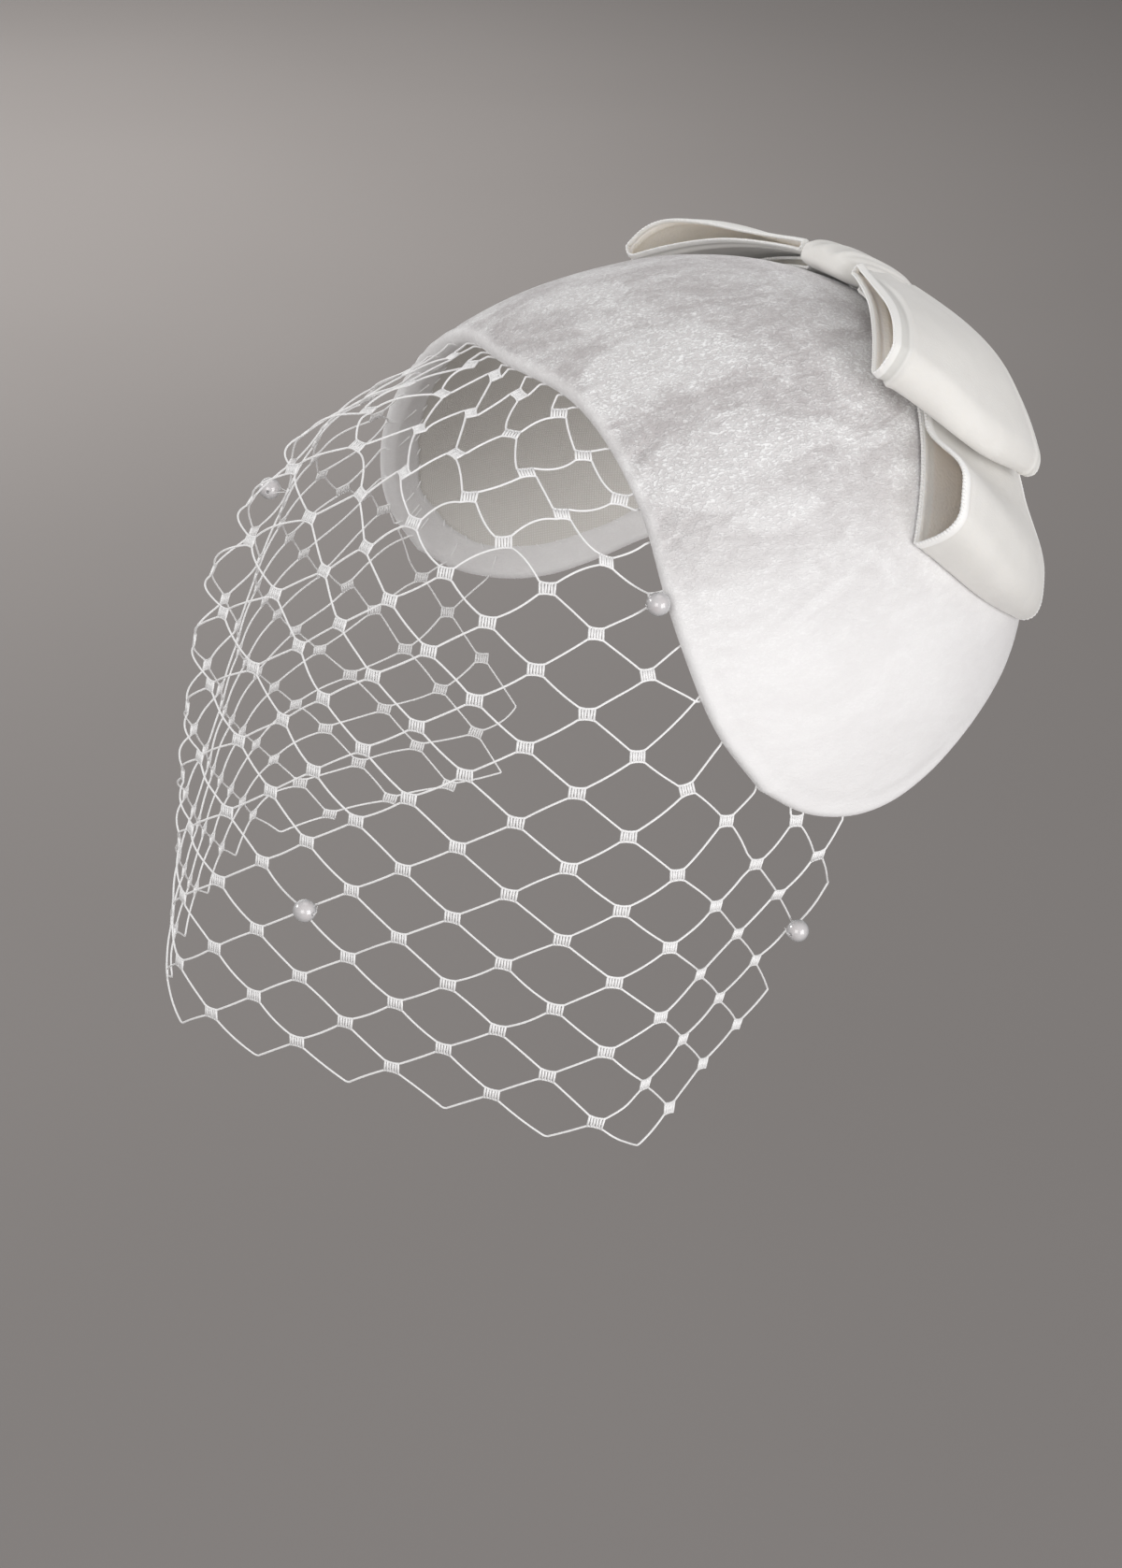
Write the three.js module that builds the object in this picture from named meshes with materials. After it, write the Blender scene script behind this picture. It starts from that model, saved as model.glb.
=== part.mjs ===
// Half hat: a padded saddle-shaped base, a birdcage veil with pearls, and a two-tier ribbon bow.
// Units are millimetres and +Z is up. The wearer looks along -Y, with the left ear towards +X.
// The origin is the top of the head, where the crown of the hat sits.

import * as THREE from 'three';

const { degToRad, lerp, clamp, smoothstep } = THREE.MathUtils;

// The head that the hat is blocked on: an ellipsoid, longer than it is wide, with its back end
// raised. Its highest point is the origin.
const HEAD = { halfWidth: 76.8, halfLength: 98.2, halfHeight: 80.3, tilt: degToRad(24.7) };
const TILT_SIN = Math.sin(HEAD.tilt);
const TILT_COS = Math.cos(HEAD.tilt);
const HEAD_TOP = Math.hypot(HEAD.halfLength * TILT_SIN, HEAD.halfHeight * TILT_COS);
const TOP_SETBACK = (HEAD.halfLength ** 2 - HEAD.halfHeight ** 2) * TILT_SIN * TILT_COS / HEAD_TOP;
const HEAD_CENTRE = new THREE.Vector3(0, -TOP_SETBACK, -HEAD_TOP);

// The hat's padded wall, and the clearance between pieces that are sewn together.
const FIT_LIFT = 0.3;
const WALL = 4.4;
const OUTER_LIFT = FIT_LIFT + WALL;
const SEAM_GAP = 0.35;

// Places on the head are given by two angles in degrees, seen from the head's centre: across,
// from the crown down to the left ear, and along, from the crown to the back of the head. A table
// that crosses the middle starts one row beyond it, so that its curve is smooth there.
const FRONT_EDGE = [
  { across: -20, along: -21.5 },
  { across: 0, along: -24.5 },
  { across: 20, along: -21.5 },
  { across: 40, along: -21.2 },
  { across: 58, along: -22.2 },
  { across: 72, along: -20.6 },
  { across: 82, along: -17.4 },
  { across: 92, along: -11 },
];
const LOBE_EDGE = [
  { across: 92, along: -11 },
  { across: 98, along: -2.6 },
  { across: 101.6, along: 7 },
  { across: 102.5, along: 16 },
  { across: 101, along: 25 },
  { across: 98, along: 33.5 },
  { across: 95.2, along: 40.5 },
  { across: 92, along: 48 },
];
const BACK_EDGE = [
  { across: -25, along: 61 },
  { across: 0, along: 60 },
  { across: 25, along: 61 },
  { across: 48, along: 63 },
  { across: 66, along: 63 },
  { across: 78, along: 60.5 },
  { across: 86, along: 55.5 },
  { across: 92, along: 48 },
];
const BASE_STEPS = { across: 36, along: 12, edge: 4 };

// Sections of the veil, one for each fourth row of knots. In plan each is half of a symmetrical
// curve: it starts square across the middle at front, runs on past noseX, pulls towards the cheek
// and ends at the ear.
const VEIL_PLAN = [
  { row: -4, front: -53.5, noseX: 35, cheekX: 42, cheekY: -57.5, earX: 75, earY: 1.5 },
  { row: 0, front: -85, noseX: 32, cheekX: 49, cheekY: -88, earX: 78, earY: -8.5 },
  { row: 4, front: -109, noseX: 18.5, cheekX: 90, cheekY: -88.5, earX: 67, earY: -20 },
  { row: 8, front: -122.5, noseX: 9, cheekX: 102, cheekY: -90.5, earX: 76, earY: -27 },
  { row: 12, front: -131.5, noseX: 12, cheekX: 100.5, cheekY: -84.5, earX: 82.5, earY: -48.5 },
  { row: 16, front: -137, noseX: 25, cheekX: 91, cheekY: -76, earX: 88.5, earY: -71.5 },
];
// Height of each section at the middle, how much lower it is at the ear, and the spacing of the
// knot columns along it.
const VEIL_LEVELS = [
  { row: -4, height: 0.5, drop: 25, pitch: 8 },
  { row: 0, height: -21.5, drop: 35, pitch: 10.2 },
  { row: 4, height: -50.5, drop: 30, pitch: 11.8 },
  { row: 8, height: -82, drop: 31.5, pitch: 12.1 },
  { row: 12, height: -114, drop: 29, pitch: 12.1 },
  { row: 16, height: -145.5, drop: 29.8, pitch: 11.8 },
];
// Where the veil is sewn under the front edge: reach counts knot columns out from the middle,
// row is the knot row that meets the edge there, and across is the place along the edge.
const VEIL_SEAM = [
  { reach: -2.6, row: -3.5, across: -9.6 },
  { reach: 0, row: -3.3, across: 0 },
  { reach: 2.6, row: -3.5, across: 9.6 },
  { reach: 4.6, row: -3.4, across: 18 },
  { reach: 5.6, row: -2.8, across: 26 },
  { reach: 6.7, row: -1.5, across: 37 },
  { reach: 7.9, row: 1.6, across: 54.5 },
  { reach: 9.2, row: 4.9, across: 74 },
  { reach: 10.3, row: 6.6, across: 85 },
  { reach: 11.4, row: 7.3, across: 93 },
  { reach: 12.4, row: 7.8, across: 97.5 },
  { reach: 13.5, row: 8, across: 100.5 },
  { reach: 14.6, row: 8.35, across: 101.9 },
];
// The veil hangs turned from its symmetrical shape: towards the wearer's right it drops, and
// beside the middle it swings round. Both go by reach and are scaled by row. The swing's heading
// is measured from straight ahead, towards the right ear.
const VEIL_TURN = [
  { reach: -14.6, swing: 0, drop: 0 },
  { reach: -11.5, swing: 0, drop: 2 },
  { reach: -8.5, swing: -0.4, drop: 6 },
  { reach: -6, swing: -2, drop: 9.6 },
  { reach: -3.8, swing: -3.3, drop: 11 },
  { reach: -2.8, swing: 1.2, drop: 7.6 },
  { reach: -1.8, swing: 7, drop: 3.9 },
  { reach: -0.8, swing: 3.6, drop: 0.9 },
  { reach: 0.2, swing: -1.4, drop: 0.3 },
  { reach: 1.2, swing: -2, drop: 0 },
  { reach: 2.4, swing: 0, drop: 0 },
  { reach: 4, swing: 0, drop: 0 },
];
const VEIL_TURN_ROWS = [
  { row: -4, swing: 0.5, drop: 0.5 },
  { row: 0, swing: 0.7, drop: 0.8 },
  { row: 4, swing: 1, drop: 1 },
  { row: 8, swing: 0.68, drop: 0.86 },
  { row: 12, swing: 0.2, drop: 0.6 },
  { row: 16, swing: 0, drop: 0.35 },
];
const SWING_HEADING = degToRad(30.7);
const SWING = new THREE.Vector3(-Math.sin(SWING_HEADING), -Math.cos(SWING_HEADING), 0);
// The hem lies level out to cornerReach and then rises a row for each column. The drop is reached
// dropSpan from the middle. The top pullIn rows are drawn in to the seam.
const VEIL = { wall: 1.6, hemRow: 16.6, cornerReach: 10.9, dropSpan: 172, pullIn: 4 };
const VEIL_STEPS = { columns: 44, rows: 12 };
const PEARL_RADIUS = 2.6;
const PEARL_GAP = 0.6;
const PEARLS = [
  { name: 'pearl_brow', reach: 8, row: 2.2, side: 1 },
  { name: 'pearl_cheek', reach: 3, row: 11.75, side: 1 },
  { name: 'pearl_ear', reach: 13.4, row: 10.8, side: 1 },
  { name: 'pearl_temple', reach: 3.8, row: 2.05, side: -1 },
];

// The bow, on the crown behind its middle. Each loop is a tube of ribbon that fans out from the
// knot to a fold, whose corners and middle are given as places on the head. gap is the height of
// the loop's mouth at front and at back. The mouth starts to open at opens, a part of the length
// from the knot, and is at its full height opensOver further on; on the wearer's right it starts
// later by rightDelay. foldDepth is the length of the round of the fold, and knotHalf is half the
// width, in degrees, that the ribbon is gathered to at the knot. PINCH is the thickness there.
const RIBBON_WALL = 1.2;
const PINCH = 1.5;
const KNOT = { across: 8, along: 38.5, alongHalf: 8, lift: 8.9, height: 3.8, bluntness: 0.62 };
const LOOP_START = KNOT.across + 0.4;
const LOOP_STEPS = { around: 26, across: 7 };
const LOWER_LIFT = OUTER_LIFT + 1.5 * SEAM_GAP + RIBBON_WALL / 2;
const LOOP_TIERS = [
  {
    tier: 'lower',
    lift: LOWER_LIFT,
    rise: 0,
    gap: { front: 12, back: 5 },
    opens: { front: 0.6, back: 0.64 },
    opensOver: 0.24,
    rightDelay: 0,
    foldDepth: 9,
    length: 88,
    knotHalf: 5,
    foldFront: { across: 59, along: 20.5 },
    foldMiddle: { across: 70, along: 34 },
    foldBack: { across: 79.5, along: 50 },
  },
  {
    tier: 'upper',
    lift: LOWER_LIFT + PINCH + RIBBON_WALL + SEAM_GAP,
    rise: 1.9,
    gap: { front: 8.6, back: 4.6 },
    opens: { front: 0.08, back: -0.2 },
    opensOver: 0.76,
    rightDelay: 0.05,
    foldDepth: 5,
    length: 58,
    knotHalf: 6,
    foldFront: { across: 34.5, along: 18.5 },
    foldMiddle: { across: 46.8, along: 33 },
    foldBack: { across: 50.6, along: 46.6 },
  },
];

const FINISH = {
  velvet: { color: 0xe9e5e4, roughness: 0.85 },
  net: { color: 0xf7f6f4, roughness: 0.6 },
  pearl: { color: 0xf0ede8, roughness: 0.2 },
  ribbon: { color: 0xeceae6, roughness: 0.75 },
};

// ---------------------------------------------------------------- curves and places

// Value of a named column of a table at key = x, on a smooth curve through its rows.
function readTable(table, key, column, x) {
  let i = 0;
  while (i < table.length - 2 && table[i + 1][key] < x) i += 1;
  const slope = (k) => {
    const a = table[Math.max(k - 1, 0)];
    const b = table[Math.min(k + 1, table.length - 1)];
    return (b[column] - a[column]) / (b[key] - a[key]);
  };
  const span = table[i + 1][key] - table[i][key];
  const t = clamp((x - table[i][key]) / span, -0.5, 1.5);
  const t2 = t * t;
  const t3 = t2 * t;
  return (2 * t3 - 3 * t2 + 1) * table[i][column] + (t3 - 2 * t2 + t) * span * slope(i)
    + (3 * t2 - 2 * t3) * table[i + 1][column] + (t3 - t2) * span * slope(i + 1);
}

// Point along a short table of places, at fraction t of its rows, on a smooth curve.
function placeAlong(table, t) {
  const numbered = table.map((place, row) => ({ ...place, row }));
  const row = t * (table.length - 1);
  return {
    across: readTable(numbered, 'row', 'across', row),
    along: readTable(numbered, 'row', 'along', row),
  };
}

function placeDirection(across, along) {
  const a = degToRad(across);
  const b = degToRad(along);
  return new THREE.Vector3(Math.sin(a) * Math.cos(b), Math.sin(b), Math.cos(a) * Math.cos(b));
}

// The point that lies lift outside the head, in a direction from the head's centre.
function liftedPoint(direction, lift) {
  const lengthwise = direction.y * TILT_COS + direction.z * TILT_SIN;
  const upright = -direction.y * TILT_SIN + direction.z * TILT_COS;
  const reach = Math.hypot(
    direction.x / (HEAD.halfWidth + lift),
    lengthwise / (HEAD.halfLength + lift),
    upright / (HEAD.halfHeight + lift),
  );
  return direction.clone().divideScalar(reach).add(HEAD_CENTRE);
}

function headPoint(across, along, lift) {
  return liftedPoint(placeDirection(across, along), lift);
}

// Outward direction of the head's surface at a place.
function headNormal(across, along) {
  const step = 0.5;
  const sideways = headPoint(across + step, along, 0).sub(headPoint(across - step, along, 0));
  const backwards = headPoint(across, along + step, 0).sub(headPoint(across, along - step, 0));
  return sideways.cross(backwards).normalize();
}

// ---------------------------------------------------------------- meshes

function namedMesh(name, geometry, finish) {
  const mesh = new THREE.Mesh(geometry, new THREE.MeshStandardMaterial({ ...finish, metalness: 0 }));
  mesh.name = name;
  return mesh;
}

function meshFrom(name, points, triangles, finish) {
  const coordinates = points.flatMap((p) => [p.x, p.y, p.z]);
  const geometry = new THREE.BufferGeometry();
  geometry.setAttribute('position', new THREE.Float32BufferAttribute(coordinates, 3));
  geometry.setIndex(triangles.flat());
  geometry.computeVertexNormals();
  return namedMesh(name, geometry, finish);
}

// A wall between two grids of points of the same size, outer[i][j] and inner[i][j], closed round
// its border through edge(i, j), a list of points from the outer border to the inner one.
// Seen from outside, i runs to the right and j runs up.
function wallMesh(name, outer, inner, edge, finish) {
  const columns = outer.length;
  const rows = outer[0].length;
  const points = [...outer.flat(), ...inner.flat()];
  const triangles = [];
  const quad = (a, b, c, d) => triangles.push([a, b, c], [a, c, d]);
  const outerIndex = (i, j) => i * rows + j;
  const innerIndex = (i, j) => columns * rows + i * rows + j;
  for (let i = 0; i < columns - 1; i += 1) {
    for (let j = 0; j < rows - 1; j += 1) {
      quad(outerIndex(i, j), outerIndex(i + 1, j), outerIndex(i + 1, j + 1), outerIndex(i, j + 1));
      quad(innerIndex(i, j), innerIndex(i, j + 1), innerIndex(i + 1, j + 1), innerIndex(i + 1, j));
    }
  }
  const border = [];
  for (let i = 0; i < columns - 1; i += 1) border.push([i, 0]);
  for (let j = 0; j < rows - 1; j += 1) border.push([columns - 1, j]);
  for (let i = columns - 1; i > 0; i -= 1) border.push([i, rows - 1]);
  for (let j = rows - 1; j > 0; j -= 1) border.push([0, j]);
  const strips = border.map(([i, j]) => {
    const between = edge(i, j).map((p) => points.push(p) - 1);
    return [outerIndex(i, j), ...between, innerIndex(i, j)];
  });
  strips.forEach((strip, k) => {
    const next = strips[(k + 1) % strips.length];
    for (let m = 0; m < strip.length - 1; m += 1) quad(strip[m], strip[m + 1], next[m + 1], next[m]);
  });
  return meshFrom(name, points, triangles, finish);
}

// A ribbon tube: ring(t) gives the outer and inner loops of points at each fraction t of its width.
function tubeMesh(name, ring, stations, finish, mirrored) {
  const points = [];
  const triangles = [];
  const quad = (a, b, c, d) => {
    if (mirrored) triangles.push([a, c, b], [a, d, c]);
    else triangles.push([a, b, c], [a, c, d]);
  };
  const loops = [];
  for (let k = 0; k <= stations; k += 1) {
    const { outer, inner } = ring(k / stations);
    loops.push({ outer: outer.map((p) => points.push(p) - 1), inner: inner.map((p) => points.push(p) - 1) });
  }
  const around = loops[0].outer.length;
  for (let n = 0; n < around; n += 1) {
    const m = (n + 1) % around;
    for (let k = 0; k < stations; k += 1) {
      quad(loops[k].outer[n], loops[k + 1].outer[n], loops[k + 1].outer[m], loops[k].outer[m]);
      quad(loops[k].inner[n], loops[k].inner[m], loops[k + 1].inner[m], loops[k + 1].inner[n]);
    }
    const first = loops[0];
    const last = loops[stations];
    quad(first.outer[n], first.outer[m], first.inner[m], first.inner[n]);
    quad(last.outer[n], last.inner[n], last.inner[m], last.outer[m]);
  }
  return meshFrom(name, points, triangles, finish);
}

// ---------------------------------------------------------------- padded base

// Place inside the hat's outline for i from ear to ear and j from front to back, both 0 to 1:
// a patch stretched between the front edge, the back edge and the two lobes.
function basePlace(i, j) {
  const side = Math.sign(i - 0.5);
  const reach = Math.abs(2 * i - 1);
  const half = (edgeTable) => {
    const across = reach * edgeTable[edgeTable.length - 1].across;
    return { across: side * across, along: readTable(edgeTable, 'across', 'along', across) };
  };
  const front = half(FRONT_EDGE);
  const back = half(BACK_EDGE);
  const lobe = placeAlong(LOBE_EDGE, j);
  const corner = { front: LOBE_EDGE[0], back: LOBE_EDGE[LOBE_EDGE.length - 1] };
  const bulge = {
    across: lobe.across - lerp(corner.front.across, corner.back.across, j),
    along: lobe.along - lerp(corner.front.along, corner.back.along, j),
  };
  return {
    across: lerp(front.across, back.across, j) + side * reach ** 3 * bulge.across,
    along: lerp(front.along, back.along, j) + reach ** 3 * bulge.along,
  };
}

function makeBase() {
  const radius = WALL / 2;
  const middleLift = FIT_LIFT + radius;
  const { across: columns, along: rows } = BASE_STEPS;
  const at = (i, j, lift) => {
    const place = basePlace(i / columns, j / rows);
    return headPoint(place.across, place.along, lift);
  };
  // Border points move in by the edge's radius, so that the round edge ends on the outline.
  const step = 0.35;
  const outlinePoint = (i, j) => at(clamp(i, 0, columns), clamp(j, 0, rows), middleLift);
  const inward = (i, j) => {
    const along = j === 0 || j === rows
      ? outlinePoint(i + step, j).sub(outlinePoint(i - step, j))
      : outlinePoint(i, j + step).sub(outlinePoint(i, j - step));
    along.normalize();
    const aim = at(lerp(i, columns / 2, 0.05), lerp(j, rows / 2, 0.1), middleLift);
    const towards = aim.sub(outlinePoint(i, j));
    towards.addScaledVector(along, -towards.dot(along));
    return towards.normalize();
  };
  const isBorder = (i, j) => i === 0 || i === columns || j === 0 || j === rows;
  const layer = (lift) => {
    const grid = [];
    for (let i = 0; i <= columns; i += 1) {
      grid.push([]);
      for (let j = 0; j <= rows; j += 1) {
        const point = at(i, j, lift);
        if (isBorder(i, j)) point.addScaledVector(inward(i, j), radius);
        grid[i].push(point);
      }
    }
    return grid;
  };
  const edge = (i, j) => {
    const place = basePlace(i / columns, j / rows);
    const normal = headNormal(place.across, place.along);
    const into = inward(i, j);
    const centre = headPoint(place.across, place.along, middleLift).addScaledVector(into, radius);
    const points = [];
    for (let k = 1; k < BASE_STEPS.edge; k += 1) {
      const angle = Math.PI * (0.5 - k / BASE_STEPS.edge);
      points.push(centre.clone()
        .addScaledVector(normal, radius * Math.sin(angle))
        .addScaledVector(into, -radius * Math.cos(angle)));
    }
    return points;
  };
  return wallMesh('hat_base', layer(OUTER_LIFT), layer(FIT_LIFT), edge, FINISH.velvet);
}

// ---------------------------------------------------------------- veil

// Point on the veil's middle surface, reach knot columns from the middle, before it is drawn in
// to the seam.
function hangingPoint(reach, row) {
  const planRow = Math.min(row, VEIL_PLAN[VEIL_PLAN.length - 1].row);
  const plan = (column) => readTable(VEIL_PLAN, 'row', column, planRow);
  const level = (column) => readTable(VEIL_LEVELS, 'row', column, row);
  const curve = new THREE.CubicBezierCurve3(
    new THREE.Vector3(0, plan('front'), 0),
    new THREE.Vector3(plan('noseX'), plan('front'), 0),
    new THREE.Vector3(plan('cheekX'), plan('cheekY'), 0),
    new THREE.Vector3(plan('earX'), plan('earY'), 0),
  );
  const distance = reach * level('pitch');
  const length = curve.getLength();
  const point = curve.getPointAt(Math.min(distance / length, 1));
  if (distance > length) point.addScaledVector(curve.getTangentAt(1), distance - length);
  point.z = level('height') - level('drop') * (distance / VEIL.dropSpan) ** 3;
  return point;
}

function seamRow(reach) {
  return readTable(VEIL_SEAM, 'reach', 'row', reach);
}

// Middle of the hat's front edge, or of the front of its lobe, at a place across the head.
function edgePoint(across) {
  const onFront = across < FRONT_EDGE[FRONT_EDGE.length - 1].across;
  const table = onFront ? FRONT_EDGE : LOBE_EDGE.slice(0, 4);
  return headPoint(across, readTable(table, 'across', 'along', across), FIT_LIFT + WALL / 2);
}

// The seam follows the hat's edge, a seam gap outside it.
function seamPoint(reach) {
  const across = readTable(VEIL_SEAM, 'reach', 'across', reach);
  const here = edgePoint(across);
  const forward = here.clone().sub(edgePoint(across - 1));
  const normal = here.clone().sub(HEAD_CENTRE);
  const outward = forward.cross(normal).normalize();
  return here.addScaledVector(outward, SEAM_GAP + VEIL.wall / 4);
}

function veilPoint(reach, row) {
  const distance = Math.abs(reach);
  const top = seamRow(distance);
  const point = hangingPoint(distance, row);
  const depth = clamp((row - top) / VEIL.pullIn, 0, 1);
  const pull = (1 - depth) ** 2 * (1 + 2 * depth);
  const offset = seamPoint(distance).sub(hangingPoint(distance, top));
  point.addScaledVector(offset, pull);
  if (reach < 0) point.x = -point.x;
  const turned = clamp(reach, VEIL_TURN[0].reach, VEIL_TURN[VEIL_TURN.length - 1].reach);
  const turn = (column) => (
    readTable(VEIL_TURN, 'reach', column, turned) * readTable(VEIL_TURN_ROWS, 'row', column, row)
  );
  point.addScaledVector(SWING, turn('swing') * (1 - pull));
  point.z -= turn('drop') * (1 - pull);
  return point;
}

function hemRow(reach) {
  return VEIL.hemRow - Math.max(Math.abs(reach) - VEIL.cornerReach, 0);
}

function veilNormal(reach, row) {
  const step = 0.25;
  const sideways = veilPoint(reach + step, row).sub(veilPoint(reach - step, row));
  const upwards = veilPoint(reach, row - step).sub(veilPoint(reach, row + step));
  return sideways.cross(upwards).normalize();
}

function makeVeil() {
  const end = VEIL_SEAM[VEIL_SEAM.length - 1].reach;
  const layer = (offset) => {
    const grid = [];
    for (let i = 0; i <= VEIL_STEPS.columns; i += 1) {
      const reach = lerp(-end, end, i / VEIL_STEPS.columns);
      const top = seamRow(Math.abs(reach));
      grid.push([]);
      for (let j = VEIL_STEPS.rows; j >= 0; j -= 1) {
        const row = lerp(top, hemRow(reach), j / VEIL_STEPS.rows);
        grid[i].push(veilPoint(reach, row).addScaledVector(veilNormal(reach, row), offset));
      }
    }
    return grid;
  };
  return wallMesh('veil', layer(VEIL.wall / 2), layer(-VEIL.wall / 2), () => [], FINISH.net);
}

function makePearl({ name, reach, row, side }) {
  const mesh = namedMesh(name, new THREE.SphereGeometry(PEARL_RADIUS, 14, 9), FINISH.pearl);
  const outward = veilNormal(side * reach, row);
  mesh.position.copy(veilPoint(side * reach, row));
  mesh.position.addScaledVector(outward, VEIL.wall / 2 + PEARL_GAP + PEARL_RADIUS);
  return mesh;
}

// ---------------------------------------------------------------- bow

// A loop's section runs from the knot (0) along the top layer to the fold (PI) and back along the
// bottom layer. The top layer lies on the bottom one until the mouth opens, rises to the gap and
// turns down to the bottom layer in the fold.
function loopSection(tier, side, t) {
  const gap = lerp(tier.gap.front, tier.gap.back, t) - PINCH;
  const opens = lerp(tier.opens.front, tier.opens.back, t) + (side < 0 ? tier.rightDelay : 0);
  const bend = PINCH / 2;
  const centre = [];
  for (let k = 0; k < LOOP_STEPS.around; k += 1) {
    const angle = 2 * Math.PI * (k + 0.5) / LOOP_STEPS.around;
    const layer = angle < Math.PI ? 1 : -1;
    const x = tier.length * (1 - Math.cos(angle)) / 2;
    const end = clamp(1 - Math.min(x, tier.length - x) / bend, 0, 1);
    const opened = smoothstep(x / tier.length, opens, opens + tier.opensOver);
    const turn = clamp(1 - (tier.length - x) / tier.foldDepth, 0, 1);
    const rise = layer > 0 ? gap * opened * Math.sqrt(1 - turn ** 2) : 0;
    centre.push(new THREE.Vector2(x, bend + layer * bend * Math.sqrt(1 - end ** 2) + rise));
  }
  const offset = (distance) => centre.map((point, k) => {
    const before = centre[(k + centre.length - 1) % centre.length];
    const after = centre[(k + 1) % centre.length];
    const tangent = after.clone().sub(before).normalize();
    return new THREE.Vector2(point.x - tangent.y * distance, point.y + tangent.x * distance);
  });
  return { outer: offset(RIBBON_WALL / 2), inner: offset(-RIBBON_WALL / 2) };
}

// Where a point of the section lies on the head, at a fraction t of the ribbon's width. The
// ribbon's threads run straight from the knot to the fold.
function loopPoint(tier, side, point, t) {
  const fraction = point.x / tier.length;
  const start = placeDirection(LOOP_START, KNOT.along + (2 * t - 1) * tier.knotHalf);
  const fold = placeAlong([tier.foldFront, tier.foldMiddle, tier.foldBack], t);
  const direction = start.lerp(placeDirection(fold.across, fold.along), fraction);
  direction.x *= side;
  return liftedPoint(direction, tier.lift + tier.rise * fraction + point.y);
}

function makeLoop(tier, side) {
  const ring = (t) => {
    const section = loopSection(tier, side, t);
    return {
      outer: section.outer.map((point) => loopPoint(tier, side, point, t)),
      inner: section.inner.map((point) => loopPoint(tier, side, point, t)),
    };
  };
  const name = `bow_${tier.tier}_${side > 0 ? 'left' : 'right'}`;
  return tubeMesh(name, ring, LOOP_STEPS.across, FINISH.ribbon, side > 0);
}

// The knot is a rounded block over the pinched ends, blunt at its sides.
function makeKnot() {
  const geometry = new THREE.SphereGeometry(1, 24, 16);
  const position = geometry.getAttribute('position');
  const blunt = (value) => Math.sign(value) * Math.abs(value) ** KNOT.bluntness;
  for (let k = 0; k < position.count; k += 1) {
    const unit = new THREE.Vector3().fromBufferAttribute(position, k);
    const point = headPoint(
      KNOT.across * blunt(unit.x),
      KNOT.along + KNOT.alongHalf * blunt(unit.y),
      KNOT.lift + KNOT.height * blunt(unit.z),
    );
    position.setXYZ(k, point.x, point.y, point.z);
  }
  geometry.computeVertexNormals();
  return namedMesh('bow_knot', geometry, FINISH.ribbon);
}

// ---------------------------------------------------------------- the hat

const hat = new THREE.Group();
hat.add(makeBase());
hat.add(makeVeil());
PEARLS.forEach((pearl) => hat.add(makePearl(pearl)));
LOOP_TIERS.forEach((tier) => {
  [1, -1].forEach((side) => hat.add(makeLoop(tier, side)));
});
hat.add(makeKnot());

export default hat;
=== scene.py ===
"""Half hat: a padded base in crushed velvet, a birdcage veil with pearls, and a two-tier ribbon bow.

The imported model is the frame: +Z is up, the wearer looks along -Y with the left ear towards +X, and
the origin is the top of the head. Sizes here are millimetres and degrees until a mesh is made.
"""

import logging
import math
from dataclasses import dataclass
from enum import Enum
from typing import Iterable, Sequence

import bmesh
import bpy
import numpy as np
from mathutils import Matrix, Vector, kdtree, noise

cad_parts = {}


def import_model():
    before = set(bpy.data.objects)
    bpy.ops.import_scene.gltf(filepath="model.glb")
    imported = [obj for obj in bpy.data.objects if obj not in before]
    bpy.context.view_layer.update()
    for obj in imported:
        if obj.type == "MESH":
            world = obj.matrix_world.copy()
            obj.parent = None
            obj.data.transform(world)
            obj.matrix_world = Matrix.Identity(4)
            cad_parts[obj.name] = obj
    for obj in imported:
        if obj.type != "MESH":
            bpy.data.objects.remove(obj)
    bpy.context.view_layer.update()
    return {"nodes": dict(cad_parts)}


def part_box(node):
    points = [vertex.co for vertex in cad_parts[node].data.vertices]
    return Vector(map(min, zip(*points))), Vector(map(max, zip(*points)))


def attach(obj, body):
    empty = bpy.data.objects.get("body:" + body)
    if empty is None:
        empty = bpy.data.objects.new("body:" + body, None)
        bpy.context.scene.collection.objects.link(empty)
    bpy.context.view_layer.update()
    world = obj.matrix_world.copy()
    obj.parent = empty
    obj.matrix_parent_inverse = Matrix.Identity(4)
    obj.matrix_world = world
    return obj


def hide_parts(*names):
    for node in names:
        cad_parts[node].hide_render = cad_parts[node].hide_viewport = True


logging.basicConfig(level=logging.INFO, format="%(name)s: %(message)s")
LOG = logging.getLogger("half_hat")
MM = 0.001
Points = np.ndarray
Piece = bpy.types.Object
Material = bpy.types.Material
NodeTree = bpy.types.NodeTree
Node = bpy.types.Node
Socket = bpy.types.NodeSocket


# ------------------------------ small tools


def hex_linear(code: str) -> tuple[float, float, float, float]:
    """Turns an sRGB hex colour into linear values.

    Args:
        code: the colour, such as "#f2efec".

    Returns:
        Linear red, green, blue, and an alpha of 1.
    """
    channels = [int(code[k : k + 2], 16) / 255 for k in (1, 3, 5)]
    linear = [c / 12.92 if c <= 0.04045 else ((c + 0.055) / 1.055) ** 2.4 for c in channels]
    return (linear[0], linear[1], linear[2], 1.0)


def add_node(
    tree: NodeTree,
    kind: str,
    settings: dict | None = None,
    links: dict | None = None,
) -> Node:
    """Adds a node to a tree, with its settings and links.

    Args:
        tree: the tree that gets the node.
        kind: the node's type.
        settings: attributes of the node, or values of its sockets by name or number.
        links: the output sockets that feed its sockets, by name or number.

    Returns:
        The new node.
    """
    node = tree.nodes.new(kind)
    for key, value in (settings or {}).items():
        if isinstance(key, str) and hasattr(node, key):
            setattr(node, key, value)
        else:
            node.inputs[key].default_value = value
    for key, source in (links or {}).items():
        tree.links.new(source, node.inputs[key])
    return node


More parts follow.
